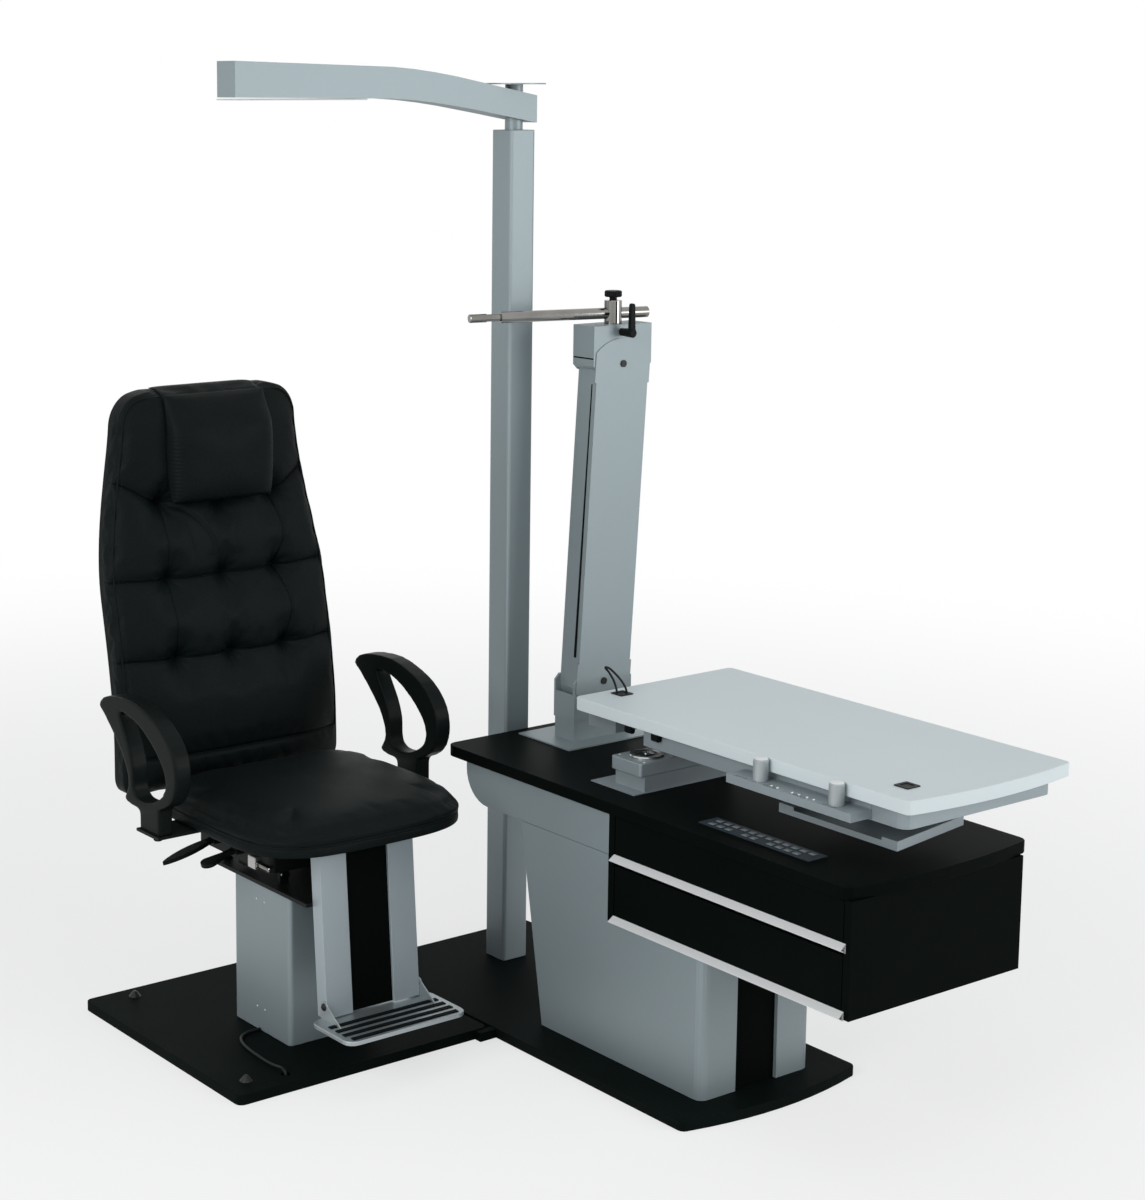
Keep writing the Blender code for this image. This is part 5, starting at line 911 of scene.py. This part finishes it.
STRAP_HALF = 0.128
STRAP_THICK = 0.0035
STRAP_HEART = Vector((0, 0.395, 1.315))
STRAP_FIRST = -62
STRAP_SWEEP = 170
STRAP_REACH = 0.3
back_skin = surface(back_rest)


def strap_point(u, v, w):
    """A point of the strap: u across, v from its inner face out, w up and over the top."""
    angle = math.radians(STRAP_FIRST + STRAP_SWEEP * (1 + w) / 2)
    aim = Vector((0, -math.cos(angle), math.sin(angle)))
    heart = STRAP_HEART + Vector((STRAP_HALF * u, 0, 0))
    hit = back_skin.ray_cast(heart + aim * STRAP_REACH, -aim, STRAP_REACH)[0]
    thick = STRAP_THICK * (1 - 0.6 * abs(u) ** 10) if v > 0 else 0
    return hit + aim * (0.0008 + thick)


piece("pillow_strap", shell("pillow_strap", 28, 1, 26, strap_point), leather, "backrest",
      "headrest_pillow")

# Welts and stitches. A leather cord is sewn into the edge seams, and a row of
# thread lies beside it, one stitch every four millimetres.
WELT = {"Radius": 0.0024}
STITCH = {"Radius": 0.00045, "Long": 0.0030, "Pitch": 0.0042}
STITCH_LIFT = 0.0002
SKIN_REACH = 0.2


def welt(add, entry):
    """A round cord along a line."""
    line = add("GeometryNodeMeshToCurve", {}, {"Mesh": entry["Geometry"]})
    ring = add("GeometryNodeCurvePrimitiveCircle", {}, {"Resolution": 10,
                                                        "Radius": entry["Radius"]})
    return add("GeometryNodeCurveToMesh", {}, {"Curve": line, "Profile Curve": ring,
                                               "Fill Caps": True})


def stitch(add, entry):
    """Short runs of thread, spaced out along a line."""
    line = add("GeometryNodeMeshToCurve", {}, {"Mesh": entry["Geometry"]})
    steps = add("GeometryNodeResampleCurve", {"mode": "LENGTH"},
                {"Curve": line, "Length": entry["Pitch"]})
    half = add("ShaderNodeMath", {"operation": "MULTIPLY"}, {0: entry["Long"], 1: 0.5})
    return dotted(add, steps, add("GeometryNodeInputTangent", {}, {}), 6, 5, entry["Radius"], half)


welting = (geometry("leather_welt", leather, tuple(WELT), welt), WELT)
stitching = (geometry("seam_stitches", seam_thread, tuple(STITCH), stitch), STITCH)


def laid(points, aims, skin, lift):
    """Lay points on a skin, each along its own aim, lifted by a small height."""
    found = []
    for point, aim in zip(points, aims):
        hit, normal, _, _ = skin.ray_cast(point - aim * SKIN_REACH, aim, 2 * SKIN_REACH)
        if hit is None:
            hit, normal, _, _ = skin.find_nearest(point)
        found.append(hit + normal * lift)
    return found


def eased(points, rounds, closed):
    """Even out a line of points."""
    for _ in range(rounds):
        fresh = [(before + point * 2 + after) / 4 for before, point, after in zip(
            points[-1:] + points, points, points[1:] + points[:1])]
        points = fresh if closed else points[:1] + fresh[1:-1] + points[-1:]
    return points


def sewn(name, kind, points, aims, skin, lift, rounds, body, node, closed=False):
    """Lay a line on a skin and sew a welt or stitches along it."""
    track = eased(laid(points, aims, skin, lift), rounds, closed)
    count = len(track)
    edges = [(index, (index + 1) % count) for index in range(count if closed else count - 1)]
    tree, sizes = kind
    grown(name, track, tree, sizes, body, node, edges=edges)


seat_skin = surface(seat)
turns = [2 * math.pi * step / 180 for step in range(180)]
aims = [Vector((-math.cos(turn), -math.sin(turn), 0)) for turn in turns]
for name, kind, height, lift in (("seat_welt", welting, SEAT_WELT, WELT["Radius"] * 0.2),
                                 ("seat_stitches", stitching, SEAT_WELT + 0.007, STITCH_LIFT)):
    middle = Vector((0, (SEAT_FRONT + SEAT_BACK) / 2, height))
    sewn(name, kind, [middle - aim * 0.25 for aim in aims], aims, seat_skin, lift, 2, "seat",
         "seat_cushion", True)


def on_back(name, kind, line, lift, rounds=3):
    """Sew along a line of (x, z) on the backrest's front."""
    points = [Vector((x, 0.25, z)) for x, z in line]
    sewn(name, kind, points, [Vector((0, 1, 0))] * len(points), back_skin, lift, rounds,
         "backrest", "back_cushion")


EDGE_INSET = 0.013
FOOT_HALF = 0.262
STITCH_IN = 0.965
STITCH_DROP = 0.008
ROW_OFFSET = 0.0055
ROW_START = TUFT_X + 0.012
ROW_LONG = 0.100
outline = []
for step in range(64):
    z = FOOT_SEAM + (BACK_TOP - EDGE_INSET - BACK_ROUND - FOOT_SEAM) * step / 63
    outline.append((-(back_half(z) - EDGE_INSET), z))
for step in range(1, 24):
    angle = math.pi / 2 * step / 24
    reach = BACK_ROUND - EDGE_INSET
    wide = back_half(BACK_TOP - BACK_ROUND) - EDGE_INSET
    outline.append((-(wide - reach * (1 - math.cos(angle))),
                    BACK_TOP - EDGE_INSET - reach + reach * math.sin(angle)))
outline += [(-x, z) for x, z in reversed(outline)]
on_back("back_welt", welting, outline, WELT["Radius"] * 0.25)
on_back("back_stitches", stitching,
        [(x * STITCH_IN, z - STITCH_DROP * (z > BACK_TOP - BACK_ROUND)) for x, z in outline],
        STITCH_LIFT)
on_back("back_foot_welt", welting,
        [(FOOT_HALF * (2 * step / 79 - 1), FOOT_SEAM) for step in range(80)], WELT["Radius"] * 0.1)
for number, row in enumerate(TUFT_ROWS, 1):
    for side in ("left", "right"):
        way = -1 if side == "left" else 1
        span = [way * (ROW_START + ROW_LONG * step / 30) for step in range(31)]
        on_back(f"row_stitches_{number}_{side}", stitching,
                [(x, row_height(row, x) + ROW_OFFSET) for x in span], STITCH_LIFT, 2)

# The armrests. Moulded black loops, rounded all over, each bolted on the end of
# the seat's cross bar. The sharp solid is rounded off as a mould would.
moulded = Finish("moulded_plastic", specular_ior_level=0.07)
spark = moulded.grain(1300, 2)
broad = moulded.grain(12, 2)
moulded.set(base_color=moulded.mix(broad, (0.0030, 0.0050, 0.0048), (0.0055, 0.0080, 0.0075)),
            roughness=spark * 0.16 + 0.30 + broad * 0.06)
moulded.bump(spark, 0.00012)
VOXEL = 0.0032
RAIL_TOP = 0.5001
for node in ("armrest_left", "armrest_right"):
    bm = bmesh.new()
    bm.from_mesh(nodes[node].data)
    bmesh.ops.remove_doubles(bm, verts=bm.verts, dist=1e-6)
    thing = placed(f"{node}_draft", kept(bm, f"{node}_loop"))
    modified(thing, "REMESH", mode="VOXEL", voxel_size=VOXEL)
    modified(thing, "SMOOTH", factor=0.5, iterations=8)
    modified(thing, "DISPLACE", strength=-0.0030, mid_level=0)
    modified(thing, "SMOOTH", factor=0.5, iterations=14)
    rounded = settled(thing)
    for vertex in rounded.vertices:
        sink = 0.0080 * (1 - smooth_step((vertex.co.z - 0.502) / 0.022))
        vertex.co.z = max(vertex.co.z - sink, RAIL_TOP)
    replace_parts(piece(f"{node}_loop", rounded, moulded, "seat", node), node)

# The two levers under the seat. Flat moulded paddles on short pins: the front
# one frees the slide and the rear one the recline.
moulded.on("tilt_lever", "slide_lever")


def along(points, radii, finish, name, body, node, sides=28):
    """A turned piece: rings of given radii round a line, closed at both ends."""
    bm = bmesh.new()
    rings = []
    for index, (point, radius) in enumerate(zip(points, radii)):
        ahead_of = Vector(points[min(index + 1, len(points) - 1)])
        behind = Vector(points[max(index - 1, 0)])
        axis = (ahead_of - behind).normalized()
        first = axis.orthogonal().normalized() if index == 0 else rings[0][1]
        first = (first - axis * first.dot(axis)).normalized()
        second = axis.cross(first)
        ring = [bm.verts.new(Vector(point) + (first * math.cos(2 * math.pi * step / sides)
                                              + second * math.sin(2 * math.pi * step / sides))
                             * radius) for step in range(sides)]
        rings.append((ring, first))
    for (low, _), (high, _) in zip(rings, rings[1:]):
        for step in range(sides):
            after = (step + 1) % sides
            bm.faces.new([low[step], low[after], high[after], high[step]])
    bm.faces.new(rings[0][0][::-1])
    bm.faces.new(rings[-1][0])
    bmesh.ops.recalc_face_normals(bm, faces=bm.faces)
    mesh = kept(bm, name)
    piece(name, mesh, finish, body, node)
    mesh.set_sharp_from_angle(angle=math.radians(35))


SLIDE_BLOCK = ((-0.160, -0.056, 0.411), (RAIL_SIDE, -0.026, 0.437))
SPINDLE_X = -0.1515
SPINDLE_Z = 0.4225
SPINDLE = {-0.0555: 0.0085, -0.062: 0.0085, -0.0621: 0.0058, -0.098: 0.0058, -0.0981: 0.0072,
           -0.104: 0.0072, -0.1055: 0.0060}
HAND_SCREW_AT = (-0.300, 0.108)
HAND_SCREW = {0.4935: 0.005, 0.4765: 0.005, 0.4764: 0.0100, 0.4610: 0.0100, 0.4590: 0.0080}
blocks("slide_block", [SLIDE_BLOCK], zinc, "seat", "seat_frame", 0.0012)
along([(SPINDLE_X, y, SPINDLE_Z) for y in SPINDLE], SPINDLE.values(), chrome, "slide_spindle",
      "seat", "seat_frame")
along([(*HAND_SCREW_AT, z) for z in HAND_SCREW], HAND_SCREW.values(), moulded,
      "armrest_hand_screw", "seat", "seat_frame")

# The pedestal. Folded steel under the desk, silver, with a black front strip and a
# small welded foot behind it that is screwed to the floor plate.
silver_coat.on("pedestal_housing", "desk_apron")
FOOT_BRACKET = ((0.545, -0.2465, 0.0224), (0.585, -0.222, 0.0330))
blocks("foot_bracket", [FOOT_BRACKET], silver_coat, "console", "pedestal_housing", 0.0015)

# The desk top and the drawer cabinet. Board with a black laminate that shows a
# very fine emboss. The drawers have the same fronts and coated board inside.
laminate = Finish("black_laminate", specular_ior_level=0.012)
emboss = laminate.grain(1100, 2)
haze = laminate.grain(5, 4)
laminate.set(base_color=laminate.mix(haze, (0.0016, 0.0030, 0.0026), (0.0034, 0.0052, 0.0046)),
             roughness=emboss * 0.10 + 0.34 + haze * 0.08)
laminate.bump(emboss, 0.00010)
laminate.on("desk_top", "cabinet_carcass", "upper_drawer_front", "lower_drawer_front")
board = Finish("coated_board", ior=1.4)
board.mottle(board.grain(30, 5, board.stretched((1, 14, 14))), 0.2, 0.5, (0.40, 0.40, 0.385),
             (0.52, 0.52, 0.50))
board.on("upper_drawer_box", "lower_drawer_box")
pale_strip = Finish("pale_anodised_strip", metallic=0.25)
pale_strip.mottle(pale_strip.grain(70, 3, pale_strip.stretched((30, 1, 30))), 0.15, 0.34,
                  (0.70, 0.715, 0.72), (0.80, 0.81, 0.815), 0.00004)
HANDLE_DEPTH = 0.0150
HANDLE_LIP = 0.0100
HANDLE_TALL = 0.0190
HANDLE_WALL = 0.0013
HANDLE_NOSE = 0.0012
for drawer in ("upper", "lower"):
    name, node = f"{drawer}_finger_pull", f"{drawer}_drawer_handle"
    low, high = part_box(node)
    out_line = [(0, 0), (-HANDLE_DEPTH, -HANDLE_LIP), (-HANDLE_DEPTH, -HANDLE_LIP - HANDLE_NOSE),
                (0, -HANDLE_TALL)]
    hollow = [(-HANDLE_WALL, -HANDLE_WALL * 2), (-HANDLE_DEPTH + 0.0028, -HANDLE_LIP - 0.0002),
              (-HANDLE_DEPTH + 0.0028, -HANDLE_LIP - 0.0010), (-HANDLE_WALL, 0.0022 - HANDLE_TALL)]
    bm = bmesh.new()
    loops = [[bm.verts.new((high.x + x, y, high.z + z)) for x, z in line]
             for y in (low.y, high.y) for line in (out_line, hollow)]
    for index in range(4):
        after = (index + 1) % 4
        for a, b in ((0, 2), (1, 3), (0, 1), (2, 3)):
            bm.faces.new([loops[a][index], loops[a][after], loops[b][after], loops[b][index]])
    bmesh.ops.recalc_face_normals(bm, faces=bm.faces)
    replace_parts(piece(name, kept(bm, name), pale_strip, f"{drawer}_drawer", node, smooth=False),
                node)

# The keypad. A grey-blue printed membrane with two rows of pale keys. The near
# row has gaps between its groups of four, two and four keys.
membrane = Finish("membrane_film", specular_ior_level=0.2)
membrane.mottle(membrane.grain(320, 2), 0.12, 0.38, (0.020, 0.030, 0.040),
                (0.032, 0.044, 0.056))
membrane.on("keypad")
key_print = Finish("pale_key_print", specular_ior_level=0.2)
key_print.mottle(key_print.grain(420, 3), 0.15, 0.36, (0.13, 0.16, 0.17), (0.22, 0.25, 0.26))
pad_low, pad_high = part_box("keypad")
KEY = {"Across": 0.0125, "Along": 0.0150, "Rise": 0.0012}
KEY_PITCH = 0.0235
KEY_START = 0.0225
KEY_INSET = 0.0150
KEY_SHIFT = 0.0025
KEY_GAPS = (0, 5, 8)


def keys(add, entry):
    """Small flat tablets, one on every given place."""
    size = add("ShaderNodeCombineXYZ", {}, {"X": entry["Across"], "Y": entry["Along"],
                                            "Z": entry["Rise"]})
    tablet = add("GeometryNodeMeshCube", {}, {"Size": size})
    return add("GeometryNodeInstanceOnPoints", {}, {"Points": entry["Geometry"],
                                                    "Instance": tablet})


key_tree = geometry("keypad_keys", key_print, tuple(KEY), keys)
key_places = []
for column in range(12):
    y = pad_low.y + KEY_START + KEY_PITCH * column
    key_places.append((pad_high.x - KEY_INSET, y + KEY_SHIFT, pad_high.z))
    if column not in KEY_GAPS:
        key_places.append((pad_low.x + KEY_INSET, y, pad_high.z))
grown("keypad_keys", key_places, key_tree, KEY, "console", "keypad")

# The instrument arm. A silver post plate on the desk, the long folded arm with its
# screwed cover, the hidden link and the head with a blind screw hole.
silver_coat.on("arm_post", "arm_body", "arm_cover", "arm_head")
black_zinc.on("arm_pivot_pin_lower", "arm_pivot_pin_upper")
zinc.on("parallel_link")
# Two black strips are painted shadow: one in the gap along the arm's side beside its cover, one in the
# gap under the head.
shadow_strip = Finish("painted_gap_shade", base_color=(0.003, 0.004, 0.004), specular_ior_level=0.05)
shadow_strip.mottle(shadow_strip.grain(700, 2), 0.2, 0.6)
GAP_SHADE_FOOT = 0.775
GAP_SHADE_HEAD = 1.392
GAP_SHADE_LEAN = 0.0658
COVER_EDGE = (0.6405, 0.6953)
HEAD_GAP = ((0.6786, -0.1465, 1.4480), (0.6800, -0.0790, 1.4512))


def gap_shade_point(u, v, w):
    """A corner of the painted shadow strip, which leans with the arm behind its cover's edge."""
    z = GAP_SHADE_FOOT if w < 0 else GAP_SHADE_HEAD
    edge = COVER_EDGE[0] + GAP_SHADE_LEAN * (z - COVER_EDGE[1])
    return Vector((edge + (0.0005 if u < 0 else 0.0175), -0.1372 if v < 0 else -0.1318, z))


piece("cover_gap_shade", shell("cover_gap_shade", 1, 1, 1, gap_shade_point), shadow_strip, "instrument_arm",
      "arm_cover", smooth=False)
blocks("head_gap_shade", [HEAD_GAP], shadow_strip, "head", "arm_head", 0.0003)

# The head's rod. A chromed bar with a slim collar and a blackened grub screw,
# held in a chromed sleeve by a moulded knob and a clamping lever.
chrome.on("support_rod", "rod_clamp_sleeve")
moulded.on("rod_knob", "clamp_lever")

# The table's bearing. A cast silver box whose ring is turned and polished. A
# screw head stands in its middle and one in each corner.
bearing_coat = powder_coat("bearing_coat", (0.300, 0.350, 0.372), 0.3, 0.38)
bearing_coat.on("table_bearing_base", "table_swing_arm")
ring_low, ring_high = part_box("bearing_ring")
ring_x, ring_y = (ring_low.x + ring_high.x) / 2, (ring_low.y + ring_high.y) / 2
polished = Finish("turned_steel", metallic=1.0)
centred = polished.node("ShaderNodeVectorMath", {"operation": "SUBTRACT"},
                        {0: polished.place, 1: (ring_x, ring_y, 0)})
turning = polished.node("ShaderNodeTexWave", {"wave_type": "RINGS", "rings_direction": "Z"},
                        {"Vector": centred, "Scale": 300.0, "Distortion": 0.4}, "Fac")
polished.mottle(turning, 0.10, 0.14, (0.36, 0.37, 0.37), (0.52, 0.53, 0.53), 0.00005)
polished.on("bearing_ring")
dial = Finish("bearing_cap", base_color=(0.008, 0.020, 0.014), specular_ior_level=0.4)
dial.mottle(dial.grain(240, 3), 0.12, 0.10)
CAP_SINK = 0.0024
CAP = {0: 0.0238, 0.0006: 0.0238, 0.0010: 0.0230}
CAP_SCREW = {"Radius": 0.0046, "Height": 0.0028}
CORNER_SCREW = {"Radius": 0.0036, "Height": 0.0015}
UP = [(0, 0, 1)]
cap_z = ring_high.z - CAP_SINK
along([(ring_x, ring_y, cap_z + rise) for rise in CAP], CAP.values(), dial, "bearing_cap",
      "table_swing", "bearing_ring", 40)
grown("bearing_cap_screw", [(ring_x, ring_y, cap_z + 0.0009)], zinc_heads, CAP_SCREW,
      "table_swing", "bearing_ring", UP)
CORNER = 0.039
CORNER_ROOM = (0.008, 0.006)
swing_low, swing_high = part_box("table_swing_arm")
corner_screws = [(x, y, ring_low.z + 0.0002)
                 for x in (ring_x - CORNER, ring_x + CORNER) for y in (ring_y - CORNER, ring_y + CORNER)
                 if x > swing_low.x + CORNER_ROOM[0] and y < swing_high.y - CORNER_ROOM[1]]
grown("bearing_corner_screws", corner_screws, zinc_heads, CORNER_SCREW, "table_swing",
      "table_swing_arm", UP)

# The table. A white laminated board with a softened edge on a folded silver frame,
# with two capped guides at its near edge and two black cable grommets in the board.
white_board = Finish("white_laminate", ior=1.4)
orange_peel = white_board.grain(900, 2)
board_cloud = white_board.grain(3, 3)
white_board.set(base_color=white_board.mix(board_cloud, (0.66, 0.735, 0.755), (0.71, 0.78, 0.80)),
                roughness=orange_peel * 0.10 + 0.42)
white_board.bump(orange_peel, 0.00006)
white_board.on("table_top")
bearing_coat.on("table_frame")
pale_coat = powder_coat("pale_guide_coat", (0.41, 0.45, 0.46), 0.3, 0.34)
pale_coat.on("table_guide_1", "table_guide_2")
LEDGE_X = 0.497
LEDGE_TOP = 0.6891
LEDGE_ROW = (-0.915, -0.932, -0.972, -0.990, -1.012, -1.030)
LEDGE_SCREW = {"Radius": 0.0044, "Height": 0.0024}
BUFFERS = (-0.4525, -0.5360)
BUFFER_HALF = 0.0125
grown("table_ledge_screws", [(LEDGE_X, y, LEDGE_TOP) for y in LEDGE_ROW], zinc_heads, LEDGE_SCREW,
      "table", "table_frame", UP)
for number, y in enumerate(BUFFERS, 1):
    blocks(f"board_buffer_{number}",
           [((0.5275, y - BUFFER_HALF, 0.6880), (0.5397, y + BUFFER_HALF, 0.7058))], rubber,
           "table", "table_frame", 0.0025)
grommet = Finish("grommet_plastic", base_color=(0.004, 0.005, 0.005), specular_ior_level=0.15)
grommet.mottle(grommet.grain(1200, 2), 0.2, 0.40, depth=0.00012)
WELL_HALF = 0.0104
GUIDE_CAP = {0: 0.0138, 0.0008: 0.0138, 0.0012: 0.0130}
grommet.on("table_grommet_1", "table_grommet_2")
for number in (1, 2):
    low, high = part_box(f"table_grommet_{number}")
    x, y = (low.x + high.x) / 2, (low.y + high.y) / 2
    blocks(f"grommet_well_{number}",
           [((x - WELL_HALF, y - WELL_HALF, low.z - 0.0002),
             (x + WELL_HALF, y + WELL_HALF, low.z + 0.0006))], grommet, "table",
           f"table_grommet_{number}", 0.0002)
for number in (1, 2):
    low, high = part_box(f"table_guide_{number}")
    middle = (low + high) / 2
    along([(middle.x, middle.y, high.z + rise) for rise in GUIDE_CAP], GUIDE_CAP.values(),
          pale_strip, f"guide_cap_{number}", "table", f"table_guide_{number}")

# The lamp. A square column, a turned pivot, the long arched beam and, under its
# free end, a ribbed diffuser strip in a pale frame.
silver_coat.on("lamp_column", "lamp_pivot_post", "lamp_arm_beam")
diffuser = Finish("lamp_diffuser", ior=1.49)
prisms = diffuser.node("ShaderNodeTexWave", {"wave_type": "BANDS", "bands_direction": "X"},
                       {"Vector": diffuser.place, "Scale": 60.0, "Distortion": 0.0}, "Fac")
clouds = diffuser.grain(18, 3)
diffuser.set(base_color=diffuser.mix(clouds, (0.52, 0.545, 0.55), (0.62, 0.64, 0.645)),
             roughness=prisms * 0.2 + 0.22)
diffuser.bump(prisms, 0.0006)
diffuser.on("lamp_panel")
